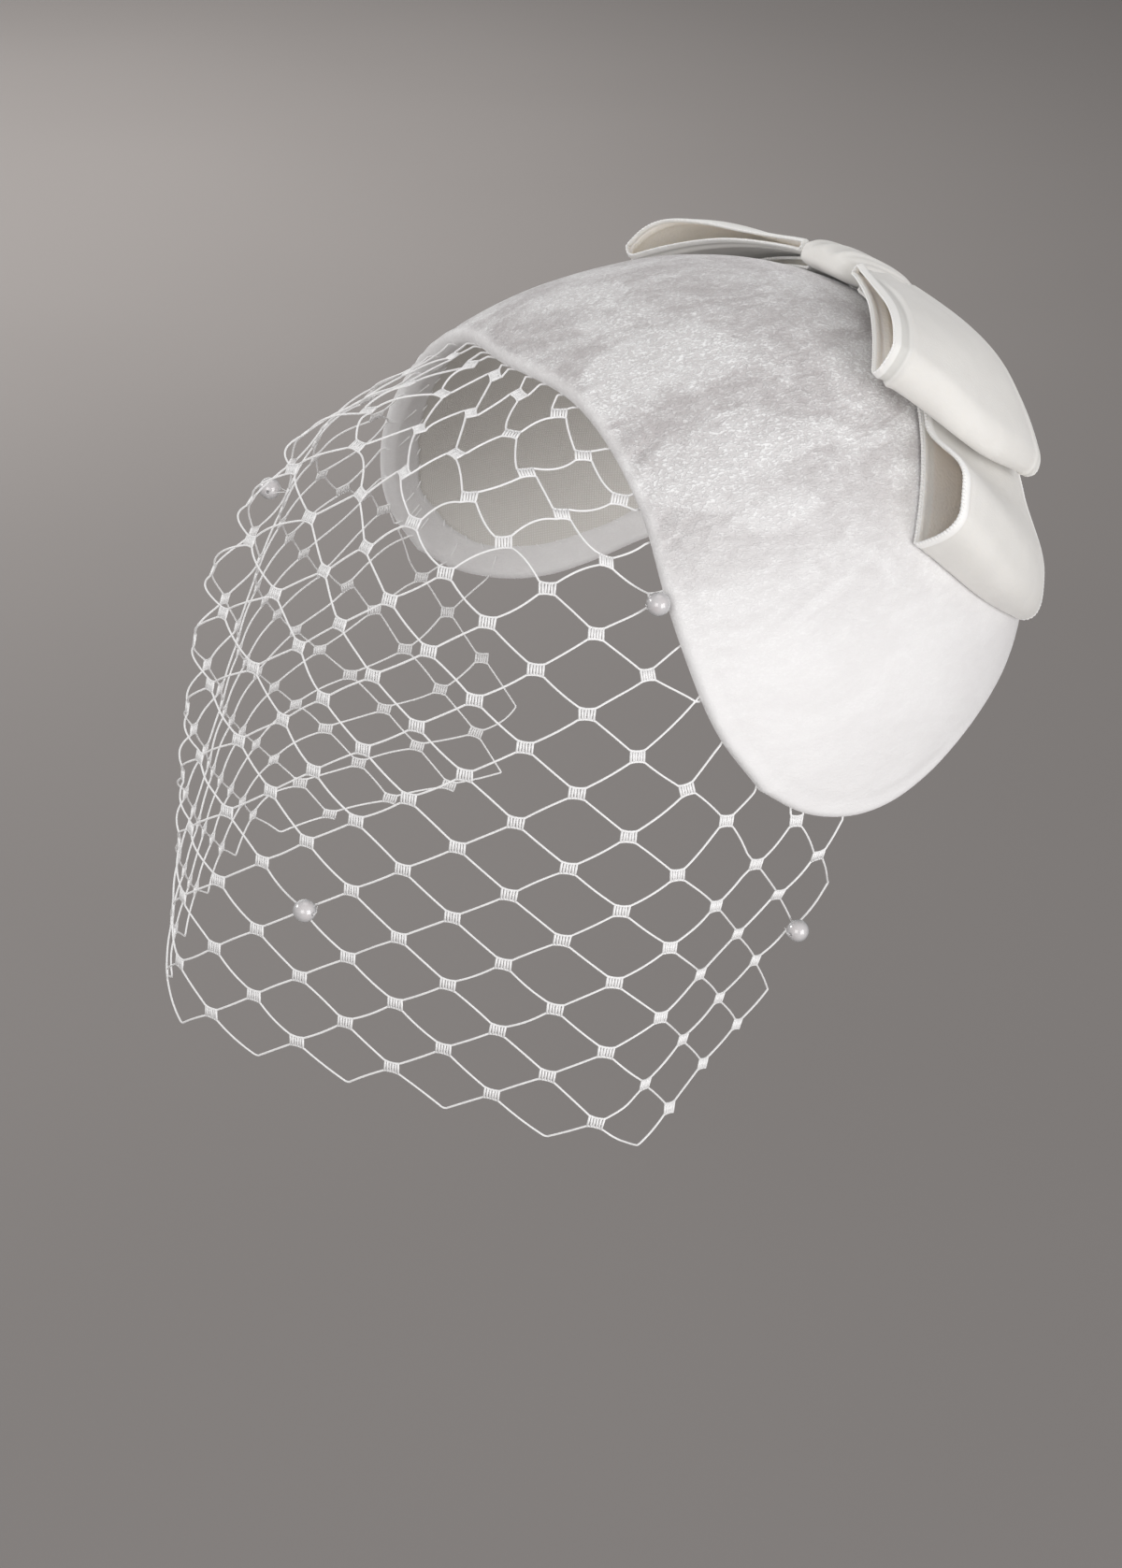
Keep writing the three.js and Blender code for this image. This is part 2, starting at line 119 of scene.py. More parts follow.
def smooth_step(low: float | Points, high: float | Points, value: Points) -> Points:
    """Rises smoothly from 0 where the value is low to 1 where it is high."""
    t = np.clip((np.asarray(value, float) - low) / (high - low), 0, 1)
    return t * t * (3 - 2 * t)


def unit(vectors: Points) -> Points:
    """Gives vectors a length of 1."""
    return vectors / np.linalg.norm(vectors, axis=-1, keepdims=True)


def wander(points: Points, feature: float, seed: float) -> Points:
    """Smooth random values in space, from about -1 to 1.

    Args:
        points: places in millimetres.
        feature: size of a bump in millimetres.
        seed: shifts the pattern.

    Returns:
        One value for each place.
    """
    flat = points.reshape(-1, 3) / feature + seed
    values = [noise.noise(Vector(p)) for p in flat]
    return np.array(values).reshape(points.shape[:-1]) * 1.6


def arc_lengths(line: Points) -> Points:
    """Distance along a line to each of its points, 0 at the first."""
    steps = np.linalg.norm(np.diff(line, axis=0), axis=1)
    return np.concatenate([[0], np.cumsum(steps)])


def pace(line: Points, pitch: float, look: float) -> tuple[Points, Points]:
    """Steps along a closed line at an even pitch.

    Args:
        line: the line's points, the last at the same place as the first.
        pitch: distance between stops.
        look: how far ahead of a stop the direction is taken.

    Returns:
        The stops, and the direction of the line at each.
    """
    arc = arc_lengths(line)
    stops = np.arange(0, arc[-1] - pitch / 2, pitch)
    here, ahead = (
        np.stack([np.interp(stops + step, arc, line[:, k]) for k in range(3)], axis=1) for step in (0, look)
    )
    return here, unit(ahead - here + 1e-9)


@dataclass(frozen=True)
class Table:
    """A short table of measurements, read along a smooth curve through its rows.

    Attributes:
        columns: names of the columns; the first is the key.
        rows: the rows, in order of the key.
    """

    columns: tuple[str, ...]
    rows: tuple[tuple[float, ...], ...]

    def column(self, name: str) -> Points:
        """Values of one column."""
        return np.array([row[self.columns.index(name)] for row in self.rows], float)

    def read(self, name: str, x: Points) -> Points:
        """Values of a column at places on the key."""
        return self._curve(self.column(self.columns[0]), self.column(name), x)

    def along(self, name: str, t: Points) -> Points:
        """Values of a column at fractions of the table, 0 at the first row and 1 at the last."""
        rows = np.arange(len(self.rows), dtype=float)
        return self._curve(rows, self.column(name), np.asarray(t, float) * (len(rows) - 1))

    @staticmethod
    def _curve(keys: Points, values: Points, x: Points) -> Points:
        """Cubic curve through the rows, with slopes from the rows on either side.

        Args:
            keys: the rows' places.
            values: the rows' values.
            x: places to read it at.

        Returns:
            One value for each place.
        """
        x = np.asarray(x, float)
        rows = np.arange(len(keys))
        before, after = np.maximum(rows - 1, 0), np.minimum(rows + 1, len(keys) - 1)
        slope = (values[after] - values[before]) / (keys[after] - keys[before])
        i = np.clip(np.searchsorted(keys, x, side="left") - 1, 0, len(keys) - 2)
        span = keys[i + 1] - keys[i]
        t = np.clip((x - keys[i]) / span, -0.5, 1.5)
        return (
            (2 * t**3 - 3 * t**2 + 1) * values[i]
            + (t**3 - 2 * t**2 + t) * span * slope[i]
            + (3 * t**2 - 2 * t**3) * values[i + 1]
            + (t**3 - t**2) * span * slope[i + 1]
        )


def add_object(name: str, data: bpy.types.ID) -> Piece:
    """Makes an object of a mesh, a light or a camera, and adds it to the scene.

    Args:
        name: the object's name.
        data: what it is made of.

    Returns:
        The new object, at the origin.
    """
    piece = bpy.data.objects.new(name, data)
    bpy.context.scene.collection.objects.link(piece)
    return piece


def make_mesh(name: str, points: Points, faces: Sequence[Sequence[int]]) -> Piece:
    """Makes a smooth-shaded object whose place is in its mesh.

    Args:
        name: the object's name.
        points: the corners in millimetres.
        faces: lists of corner numbers, in order round each face seen from outside.

    Returns:
        The new object, at the origin.
    """
    mesh = bpy.data.meshes.new(name)
    mesh.from_pydata((np.asarray(points) * MM).tolist(), [], [list(map(int, f)) for f in faces])
    mesh.update()
    mesh.shade_smooth()
    return add_object(name, mesh)


def grid_faces(shape: tuple[int, int], closed: tuple[bool, bool]) -> Points:
    """Four-sided faces between the points of a grid.

    Args:
        shape: number of points each way.
        closed: whether the last point joins the first, each way.

    Returns:
        The corner numbers of each face, in the order of the grid.
    """
    i, j = np.meshgrid(*(np.arange(n if joins else n - 1) for n, joins in zip(shape, closed)), indexing="ij")
    this, below = i * shape[1], (i + 1) % shape[0] * shape[1]
    beside = (j + 1) % shape[1]
    return np.stack([this + j, below + j, below + beside, this + beside], axis=-1).reshape(-1, 4)


def set_attribute(piece: Piece, name: str, values: Points) -> None:
    """Stores one number or one vector for each corner of a piece.

    Args:
        piece: the object that gets the attribute.
        name: the attribute's name.
        values: numbers, or vectors, in the order of the corners.
    """
    is_vector = values.ndim == 2
    kind, key = ("FLOAT_VECTOR", "vector") if is_vector else ("FLOAT", "value")
    attribute = piece.data.attributes.new(name, kind, "POINT")
    attribute.data.foreach_set(key, np.asarray(values, np.float32).ravel())


def weld(piece: Piece, distance: float = 0.004) -> None:
    """Merges corners that lie at the same place.

    Args:
        piece: the object to close.
        distance: how far apart they may be, in millimetres.
    """
    work = bmesh.new()
    work.from_mesh(piece.data)
    bmesh.ops.remove_doubles(work, verts=work.verts, dist=distance * MM)
    loose = [v for v in work.verts if not v.link_faces]
    bmesh.ops.delete(work, geom=loose, context="VERTS")
    work.to_mesh(piece.data)
    work.free()
    piece.data.update()
    piece.data.shade_smooth()


def face_out(piece: Piece) -> None:
    """Turns a closed piece's faces outward and shades them smooth.

    Args:
        piece: the object to turn.
    """
    work = bmesh.new()
    work.from_mesh(piece.data)
    bmesh.ops.recalc_face_normals(work, faces=work.faces)
    work.to_mesh(piece.data)
    work.free()
    piece.data.shade_smooth()


# ------------------------------ finishes

# Settings that many nodes share: a smooth step, a blend of two colours, and a product.
SOFT = {"interpolation_type": "SMOOTHSTEP"}
BLEND = {"data_type": "RGBA"}
TIMES = {"operation": "MULTIPLY"}


@dataclass(frozen=True)
class Finish:
    """A finish: what the real surface is and how it looks. Sizes are in millimetres.

    Attributes:
        name: the material's name.
        color: main colour in sRGB hex.
        roughness: surface roughness.
        ior: index of refraction.
        relief: height of the surface's texture.
    """

    name: str
    color: str
    roughness: float
    ior: float
    relief: float = 0.0

    def start(
        self, sockets: dict | None = None
    ) -> tuple[Material, NodeTree, Node]:
        """Makes a material with its shader set to this finish.

        Args:
            sockets: values for more of the shader's sockets, by name.

        Returns:
            The material, its node tree and its shader.
        """
        material = bpy.data.materials.new(self.name)
        material.use_nodes = True
        material.diffuse_color = hex_linear(self.color)
        tree = material.node_tree
        shader = tree.nodes["Principled BSDF"]
        shader.inputs["Base Color"].default_value = hex_linear(self.color)
        shader.inputs["Roughness"].default_value = self.roughness
        shader.inputs["IOR"].default_value = self.ior
        for name, value in (sockets or {}).items():
            shader.inputs[name].default_value = value
        return material, tree, shader


@dataclass(frozen=True)
class CrushedVelvet(Finish):
    """Polyester velvet, woven with a cut pile and then crushed and brushed.

    It gives the eye an off-white with a painted lilac-grey shade where the pile lies away, whiter
    streaks of painted sheen where it is brushed up, and painted glints in those streaks; the streaks
    are partly random tone of the crushed pile.

    Attributes:
        shade: painted shade, the colour where the pile lies away.
        glint_color: colour of a painted glint.
        tuft_roughness: roughness where a glint is painted.
        patch: size of a brushed patch.
        streak: size of the brush marks in a patch.
        fleck: size of the pile's grain and of a painted glint, drawn at twice its real size so that it
            shows.
    """

    name: str = "crushed_velvet_pile"
    color: str = "#f2f1f1"
    roughness: float = 0.72
    ior: float = 1.45
    relief: float = 0.3
    shade: str = "#c3bebe"
    glint_color: str = "#ffffff"
    tuft_roughness: float = 0.45
    patch: float = 19.0
    streak: float = 2.6
    fleck: float = 0.5

    def material(self) -> Material:
        """Makes the material. The attribute crush says how strongly the pile is crushed;
        it is lowered along the rim, which paints the rim lighter.

        Returns:
            The material.
        """
        material, tree, shader = self.start({
            "Sheen Weight": 0.6,
            "Sheen Roughness": 0.3,
            "Sheen Tint": hex_linear("#fbf9fb"),
        })
        place = add_node(tree, "ShaderNodeTexCoord").outputs["Object"]
        brush = {"Rotation": (0.4, 0.2, 0.6), "Scale": (1.0, 0.5, 1.3)}
        brushed = add_node(tree, "ShaderNodeMapping", brush, {"Vector": place}).outputs["Vector"]
        crush = add_node(tree, "ShaderNodeAttribute", {"attribute_name": "crush"}).outputs["Fac"]
        masks = []
        for size, detail, rough, twist, low, high in (
            (self.patch, 4.0, 0.6, 0.9, 0.42, 0.60),
            (self.streak, 3.0, 0.62, 0.7, 0.38, 0.62),
            (self.fleck, 1.5, 0.7, 0.3, 0.48, 0.58),
        ):
            marks = {"Scale": 1 / (size * MM), "Detail": detail, "Roughness": rough, "Distortion": twist}
            cloud = add_node(tree, "ShaderNodeTexNoise", marks, {"Vector": brushed}).outputs["Fac"]
            edges = {**SOFT, "From Min": low, "From Max": high}
            masks.append(add_node(tree, "ShaderNodeMapRange", edges, {"Value": cloud}).outputs["Result"])
        patch, streak, fleck = masks
        mostly_streaks = {"data_type": "FLOAT", 0: 0.35}
        lie = add_node(tree, "ShaderNodeMix", mostly_streaks, {2: patch, 3: streak}).outputs[0]
        # Painted sheen and shade: lighter where the pile is brushed up, lilac-grey where it lies away.
        glint_density, away = (
            add_node(tree, "ShaderNodeMapRange", {"To Min": flat, "To Max": raised}, {"Value": lie})
            for flat, raised in ((0.15, 1.0), (1.0, 0.35))
        )
        # Painted glints: white flecks mixed into the base colour, mostly in the brushed patches.
        glint = add_node(tree, "ShaderNodeMath", TIMES, {0: glint_density.outputs["Result"], 1: fleck}).outputs[0]
        glint = add_node(tree, "ShaderNodeMath", TIMES, {0: glint, 1: crush}).outputs[0]
        dark = add_node(tree, "ShaderNodeMath", TIMES, {0: away.outputs["Result"], 1: crush}).outputs[0]
        pile_colors = {**BLEND, 6: hex_linear(self.color), 7: hex_linear(self.shade)}
        pile = add_node(tree, "ShaderNodeMix", pile_colors, {0: dark}).outputs[2]
        glinted = add_node(tree, "ShaderNodeMix", {**BLEND, 7: hex_linear(self.glint_color)}, {0: glint, 6: pile})
        tree.links.new(glinted.outputs[2], shader.inputs["Base Color"])
        gloss = {"To Min": self.roughness, "To Max": self.tuft_roughness}
        glossy = add_node(tree, "ShaderNodeMapRange", gloss, {"Value": glint})
        tree.links.new(glossy.outputs["Result"], shader.inputs["Roughness"])
        raised = {"operation": "MULTIPLY_ADD", 1: 0.8}
        height = add_node(tree, "ShaderNodeMath", raised, {0: fleck, 2: lie}).outputs[0]
        deep = add_node(tree, "ShaderNodeMapRange", {"To Min": 0.15, "To Max": 0.8}, {"Value": crush})
        relief = {"Height": height, "Strength": deep.outputs["Result"]}
        bump = add_node(tree, "ShaderNodeBump", {"Distance": self.relief * MM}, relief)
        tree.links.new(bump.outputs["Normal"], shader.inputs["Normal"])
        return material


@dataclass(frozen=True)
class VelvetBack(Finish):
    """The plain woven back of the velvet, as it shows inside the hat.

    It gives the eye a flat, slightly warm white with a fine even weave.

    Attributes:
        thread: spacing of the threads, drawn at twice its real size so that it shows.
        gap: colour between the threads.
        band: width of one band of the wave texture where its scale is 1.
    """

    name: str = "velvet_back_weave"
    color: str = "#f0eeea"
    roughness: float = 0.85
    ior: float = 1.5
    relief: float = 0.15
    thread: float = 0.7
    gap: str = "#dfdcd7"
    band: float = 0.314

    def material(self) -> Material:
        """Makes the material; the weave follows the piece's own UV map, in millimetres.

        Returns:
            The material.
        """
        material, tree, shader = self.start()
        cloth = add_node(tree, "ShaderNodeUVMap", {"uv_map": "cloth"}).outputs["UV"]
        wave = {"Scale": self.band / self.thread, "Distortion": 0.6, "Detail": 1.0, "Detail Scale": 2.0}
        warp, weft = (
            add_node(tree, "ShaderNodeTexWave", {"bands_direction": way, **wave}, {"Vector": cloth})
            for way in ("X", "Y")
        )
        crossed = {0: warp.outputs["Fac"], 1: weft.outputs["Fac"]}
        over = add_node(tree, "ShaderNodeMath", TIMES, crossed).outputs[0]
        colors = {**BLEND, 6: hex_linear(self.gap), 7: hex_linear(self.color)}
        woven = add_node(tree, "ShaderNodeMix", colors, {0: over})
        tree.links.new(woven.outputs[2], shader.inputs["Base Color"])
        relief = {"Strength": 0.5, "Distance": self.relief * MM}
        bump = add_node(tree, "ShaderNodeBump", relief, {"Height": over})
        tree.links.new(bump.outputs["Normal"], shader.inputs["Normal"])
        return material


@dataclass(frozen=True)
class RibbonVelvet(Finish):
    """Single-faced velvet ribbon with a short, close pile and a woven selvedge.

    It gives the eye a smooth ivory with a soft low sheen, and a whiter, nubby edge.

    Attributes:
        shade: colour where the nap lies away.
        selvedge: colour of the woven edge.
        groove: painted shade in the hollow along the middle of a wide woven edge.
        nap: size of the brushed marks in the pile.
        fibre: size of the pile's grain, drawn at twice its real size so that it shows.
        selvedge_width: width of the woven edge.
    """

    name: str = "ribbon_velvet_pile"
    color: str = "#e9e7e3"
    roughness: float = 0.74
    ior: float = 1.45
    relief: float = 0.12
    shade: str = "#e6e4e0"
    selvedge: str = "#fbfaf8"
    groove: str = "#fbfaf8"
    nap: float = 9.0
    fibre: float = 0.5
    selvedge_width: float = 1.2

    def material(self) -> Material:
        """Makes the material. The attribute edge_mm is the distance from the ribbon's edge.

        Returns:
            The material.
        """
        material, tree, shader = self.start({
            "Sheen Weight": 0.25,
            "Sheen Roughness": 0.4,
            "Subsurface Weight": 0.15,
            "Subsurface Radius": (1.0, 0.95, 0.85),
            "Subsurface Scale": 0.6 * MM,
        })
        place = add_node(tree, "ShaderNodeTexCoord").outputs["Object"]
        edge = add_node(tree, "ShaderNodeAttribute", {"attribute_name": "edge_mm"}).outputs["Fac"]
        nap = {"Scale": 1 / (self.nap * MM), "Detail": 3.0, "Distortion": 0.4}
        brushed = add_node(tree, "ShaderNodeTexNoise", nap, {"Vector": place}).outputs["Fac"]
        grain = {"Scale": 1 / (self.fibre * MM), "Detail": 2.0}
        fibres = add_node(tree, "ShaderNodeTexNoise", grain, {"Vector": place}).outputs["Fac"]
        width = self.selvedge_width
        lie, woven, near, far = (
            add_node(
                tree, "ShaderNodeMapRange", {**SOFT, "From Min": low, "From Max": high}, {"Value": value}
            ).outputs["Result"]
            for value, low, high in (
                (brushed, 0.38, 0.62),
                (edge, width, 0.6 * width),
                (edge, 0.14 * width, 0.26 * width),
                (edge, 0.78 * width, 0.62 * width),
            )
        )
        pile_colors = {**BLEND, 6: hex_linear(self.shade), 7: hex_linear(self.color)}
        pile = add_node(tree, "ShaderNodeMix", pile_colors, {0: lie}).outputs[2]
        # hollow marks the groove of a wide woven edge, where the groove colour is painted shade.
        hollow = add_node(tree, "ShaderNodeMath", TIMES, {0: near, 1: far}).outputs[0]
        edge_colors = {**BLEND, 6: hex_linear(self.selvedge), 7: hex_linear(self.groove)}
        weave = add_node(tree, "ShaderNodeMix", edge_colors, {0: hollow}).outputs[2]
        whole = add_node(tree, "ShaderNodeMix", BLEND, {0: woven, 6: pile, 7: weave})
        tree.links.new(whole.outputs[2], shader.inputs["Base Color"])
        relief = {"Strength": 0.6, "Distance": self.relief * MM}
        bump = add_node(tree, "ShaderNodeBump", relief, {"Height": fibres})
        tree.links.new(bump.outputs["Normal"], shader.inputs["Normal"])
        return material


@dataclass(frozen=True)
class RibbonBack(Finish):
    """The flat woven back of the velvet ribbon, seen inside the loops.

    It gives the eye a warm cream, partly its own ivory and partly painted warm shade from light
    bounced inside the loops, with a whiter nubby band along the selvedge that is partly painted light.

    Attributes:
        selvedge: colour of the band along the edge, partly its own white and partly painted light where the
            mouth catches it.
        band: width of that band.
        grain: spacing of the weave's nubs, drawn at twice its real size so that it shows.
    """

    name: str = "ribbon_back_weave"
    color: str = "#fdf3e8"
    roughness: float = 0.8
    ior: float = 1.5
    relief: float = 0.2
    selvedge: str = "#fdf8ef"
    band: float = 2.2
    grain: float = 0.8

    def material(self) -> Material:
        """Makes the material. The attribute edge_mm is the distance from the ribbon's edge.

        Returns:
            The material.
        """
        material, tree, shader = self.start({
            "Subsurface Weight": 0.75,
            "Subsurface Radius": (1.0, 0.94, 0.86),
            "Subsurface Scale": 3.0 * MM,
        })
        place = add_node(tree, "ShaderNodeTexCoord").outputs["Object"]
        edge = add_node(tree, "ShaderNodeAttribute", {"attribute_name": "edge_mm"}).outputs["Fac"]
        # Painted light and shade: the cream deeper in is partly painted warm shade inside the loops, and the
        # whiter band along the edge is partly painted light.
        edges = {**SOFT, "From Min": self.band * 1.25, "From Max": self.band * 0.8}
        band = add_node(tree, "ShaderNodeMapRange", edges, {"Value": edge}).outputs["Result"]
        colors = {**BLEND, 6: hex_linear(self.color), 7: hex_linear(self.selvedge)}
        woven = add_node(tree, "ShaderNodeMix", colors, {0: band})
        tree.links.new(woven.outputs[2], shader.inputs["Base Color"])
        nubs = add_node(tree, "ShaderNodeTexVoronoi", {"Scale": 1 / (self.grain * MM)}, {"Vector": place})
        relief = {"Strength": 0.5, "Distance": self.relief * MM, "invert": True}
        bump = add_node(tree, "ShaderNodeBump", relief, {"Height": nubs.outputs["Distance"]})
        tree.links.new(bump.outputs["Normal"], shader.inputs["Normal"])
        return material


@dataclass(frozen=True)
class NylonThread(Finish):
    """Twisted nylon thread of the veil net and of the sewing.

    It gives the eye a clean bright white with a soft gloss along each thread.

    Attributes:
        hollow: colour between the plies.
        ply: size of the twist's marks, drawn at twice its real size so that it shows.
    """

    name: str = "nylon_net_thread"
    color: str = "#fdfdfd"
    roughness: float = 0.42
    ior: float = 1.53
    relief: float = 0.05
    hollow: str = "#f1f0f0"
    ply: float = 0.5

    def material(self) -> Material:
        """Makes the material.

        Returns:
            The material.
        """
        material, tree, shader = self.start({"Sheen Weight": 0.1})
        place = add_node(tree, "ShaderNodeTexCoord").outputs["Object"]
        marks = {"Scale": 1 / (self.ply * MM), "Detail": 2.0}
        twist = add_node(tree, "ShaderNodeTexNoise", marks, {"Vector": place}).outputs["Fac"]
        colors = {**BLEND, 6: hex_linear(self.hollow), 7: hex_linear(self.color)}
        twisted = add_node(tree, "ShaderNodeMix", colors, {0: twist})
        tree.links.new(twisted.outputs[2], shader.inputs["Base Color"])
        relief = {"Strength": 0.3, "Distance": self.relief * MM}
        bump = add_node(tree, "ShaderNodeBump", relief, {"Height": twist})
        tree.links.new(bump.outputs["Normal"], shader.inputs["Normal"])
        return material


@dataclass(frozen=True)
class PearlLustre(Finish):
    """Glass bead dipped in pearl essence.

    It gives the eye a cool white ball with a tight highlight, a clear coat, and a greyer rim with
    a little rose and green in it; the rim's grey is painted shade, the green the lustre's tint.

    Attributes:
        rose: tint of the clouds in the lustre.
        rim_shade_green: painted shade at the rim, grey with a little of the lustre's green.
        cloud: size of those clouds.
    """

    name: str = "dipped_pearl_lustre"
    color: str = "#dbdbdd"
    roughness: float = 0.2
    ior: float = 1.53
    rose: str = "#d3cbcb"
    rim_shade_green: str = "#989d9f"
    cloud: float = 2.2

    def material(self) -> Material:
        """Makes the material.

        Returns:
            The material.
        """
        material, tree, shader = self.start({"Coat Weight": 1.0, "Coat Roughness": 0.06})
        place = add_node(tree, "ShaderNodeTexCoord").outputs["Object"]
        # Painted shade at the rim: the colour turns grey-green as the surface turns from view.
        rim = add_node(tree, "ShaderNodeLayerWeight", {"Blend": 0.35}).outputs["Facing"]
        marks = {"Scale": 1 / (self.cloud * MM), "Detail": 2.0}
        cloud = add_node(tree, "ShaderNodeTexNoise", marks, {"Vector": place}).outputs["Fac"]
        colors = {**BLEND, 6: hex_linear(self.color), 7: hex_linear(self.rose)}
        body = add_node(tree, "ShaderNodeMix", colors, {0: cloud}).outputs[2]
        whole = add_node(tree, "ShaderNodeMix", {**BLEND, 7: hex_linear(self.rim_shade_green)}, {0: rim, 6: body})
        tree.links.new(whole.outputs[2], shader.inputs["Base Color"])
        return material


# ------------------------------ repeated shapes


class Repeat(Enum):
    """Small shapes that are set along a row of points."""

    BAR = "bar"
    NUB = "nub"
    STITCH = "stitch"

    @property
    def rings(self) -> int:
        """Mesh rings from end to end of a rounded shape."""
        return 4 if self is Repeat.NUB else 6


def start_tree(name: str, sizes: dict[str, str]) -> tuple[NodeTree, Sequence]:
    """Starts a geometry tree with its named inputs.

    Args:
        name: the tree's name.
        sizes: the inputs beside Geometry, each with its kind of number, Float or Int.

    Returns:
        The tree, and the sockets that give its inputs.
    """
    tree = bpy.data.node_groups.new(name, "GeometryNodeTree")
    for label, kind in {"Geometry": "Geometry", **sizes}.items():
        tree.interface.new_socket(label, in_out="INPUT", socket_type="NodeSocket" + kind)
    tree.interface.new_socket("Geometry", in_out="OUTPUT", socket_type="NodeSocketGeometry")
    return tree, add_node(tree, "NodeGroupInput").outputs


def end_tree(tree: NodeTree, shapes: Socket, material: Material) -> None:
    """Ends a geometry tree: its shapes become real meshes of one material.

    Args:
        tree: the tree.
        shapes: the socket that gives the shapes.
        material: their material.
    """
    real = add_node(tree, "GeometryNodeRealizeInstances", {}, {"Geometry": shapes}).outputs["Geometry"]
    dressed = add_node(tree, "GeometryNodeSetMaterial", {"Material": material}, {"Geometry": real})
    add_node(tree, "NodeGroupOutput", {}, {"Geometry": dressed.outputs["Geometry"]})


@dataclass(frozen=True)
class GrowThread:
    """Turns lines of edges into round threads.

    Attributes:
        radius: half the thread's thickness.
        sides: number of flats round the thread.
    """

    radius: float
    sides: int = 6

    def tree(self, material: Material) -> NodeTree:
        """Builds the geometry tree.

        Args:
            material: the thread's material.

        Returns:
            A tree with the inputs Geometry, Thread radius and Sides.
        """
        tree, sizes = start_tree("grow_thread", {"Thread radius": "Float", "Sides": "Int"})
        line = add_node(tree, "GeometryNodeMeshToCurve", {}, {"Mesh": sizes["Geometry"]})
        ring_sizes = {"Resolution": sizes["Sides"], "Radius": sizes["Thread radius"]}
        ring = add_node(tree, "GeometryNodeCurvePrimitiveCircle", {"mode": "RADIUS"}, ring_sizes)
        curves = {"Curve": line.outputs["Curve"], "Profile Curve": ring.outputs["Curve"]}
        tube = add_node(tree, "GeometryNodeCurveToMesh", {"Fill Caps": True}, curves)
        end_tree(tree, tube.outputs["Mesh"], material)
        return tree

    def sizes(self) -> dict[str, float]:
        """Values for the tree's named inputs."""
        return {"Thread radius": self.radius * MM, "Sides": self.sides}


@dataclass(frozen=True)
class GrowRow:
    """Sets a small shape on each point, turned along the attribute axis and length long.

    Attributes:
        shape: which shape is set.
        radius: half its thickness.
        sides: number of flats round it.
    """

    shape: Repeat
    radius: float
    sides: int = 7

    def tree(self, material: Material) -> NodeTree:
        """Builds the geometry tree.

        Args:
            material: the shape's material.

        Returns:
            A tree with the inputs Geometry and Shape radius.
        """
        tree, sizes = start_tree("grow_row_of_" + self.shape.value, {"Shape radius": "Float"})
        axis, length = (
            add_node(tree, "GeometryNodeInputNamedAttribute", {"data_type": kind, "Name": name})
            for kind, name in (("FLOAT_VECTOR", "axis"), ("FLOAT", "length"))
        )
        upright = {"Vector": axis.outputs["Attribute"]}
        turn = add_node(tree, "FunctionNodeAlignRotationToVector", {"axis": "Z"}, upright)
        twice = {"operation": "MULTIPLY", 1: 2.0}
        width = add_node(tree, "ShaderNodeMath", twice, {0: sizes["Shape radius"]}).outputs[0]
        extent = {"X": width, "Y": width, "Z": length.outputs["Attribute"]}
        scale = add_node(tree, "ShaderNodeCombineXYZ", {}, extent)
        if self.shape is Repeat.BAR:
            rod = {"Vertices": self.sides, "Radius": 0.5, "Depth": 1.0}
            form = add_node(tree, "GeometryNodeMeshCylinder", rod)
        else:
            ball = {"Segments": self.sides, "Rings": self.shape.rings, "Radius": 0.5}
            form = add_node(tree, "GeometryNodeMeshUVSphere", ball)
        row = {
            "Points": sizes["Geometry"],
            "Instance": form.outputs["Mesh"],
            "Rotation": turn.outputs["Rotation"],
            "Scale": scale.outputs["Vector"],
        }
        placed = add_node(tree, "GeometryNodeInstanceOnPoints", {}, row)
        end_tree(tree, placed.outputs["Instances"], material)
        return tree

    def sizes(self) -> dict[str, float]:
        """Values for the tree's named inputs."""
        return {"Shape radius": self.radius * MM}


def grow(piece: Piece, rule: GrowThread | GrowRow, material: Material) -> None:
    """Runs a geometry tree on a piece and keeps the result as a plain mesh.

    Args:
        piece: the lines or points that the shapes follow.
        rule: what grows on them.
        material: the material of the result.
    """
    modifier = piece.modifiers.new("grow", "NODES")
    modifier.node_group = rule.tree(material)
    inputs = (s for s in modifier.node_group.interface.items_tree if s.in_out == "INPUT")
    sockets = {socket.name: socket.identifier for socket in inputs}
    for name, value in rule.sizes().items():
        modifier[sockets[name]] = value
    graph = bpy.context.evaluated_depsgraph_get()
    result = bpy.data.meshes.new_from_object(piece.evaluated_get(graph), depsgraph=graph)
    piece.modifiers.clear()
    piece.data = result
    result.materials.clear()
    result.materials.append(material)
    result.polygons.foreach_set("material_index", [0] * len(result.polygons))
    result.shade_smooth()


def line_piece(name: str, runs: Iterable[Points]) -> Piece:
    """Makes an object of open lines of edges.

    Args:
        name: the object's name.
        runs: the points of each line, in millimetres.

    Returns:
        The new object.
    """
    points: list = []
    edges: list = []
    for run in runs:
        first = len(points)
        points.extend(run.tolist())
        edges.extend((k, k + 1) for k in range(first, len(points) - 1))
    mesh = bpy.data.meshes.new(name)
    mesh.from_pydata((np.array(points) * MM).tolist(), edges, [])
    return add_object(name, mesh)


def point_piece(name: str, points: Points, axes: Points, lengths: Points) -> Piece:
    """Makes an object of loose points, each with a direction and a length.

    Args:
        name: the object's name.
        points: places in millimetres.
        axes: the direction at each point.
        lengths: the length at each point, in millimetres.

    Returns:
        The new object.
    """
    mesh = bpy.data.meshes.new(name)
    mesh.from_pydata((points * MM).tolist(), [], [])
    piece = add_object(name, mesh)
    set_attribute(piece, "axis", axes)
    set_attribute(piece, "length", np.asarray(lengths) * MM)
    return piece


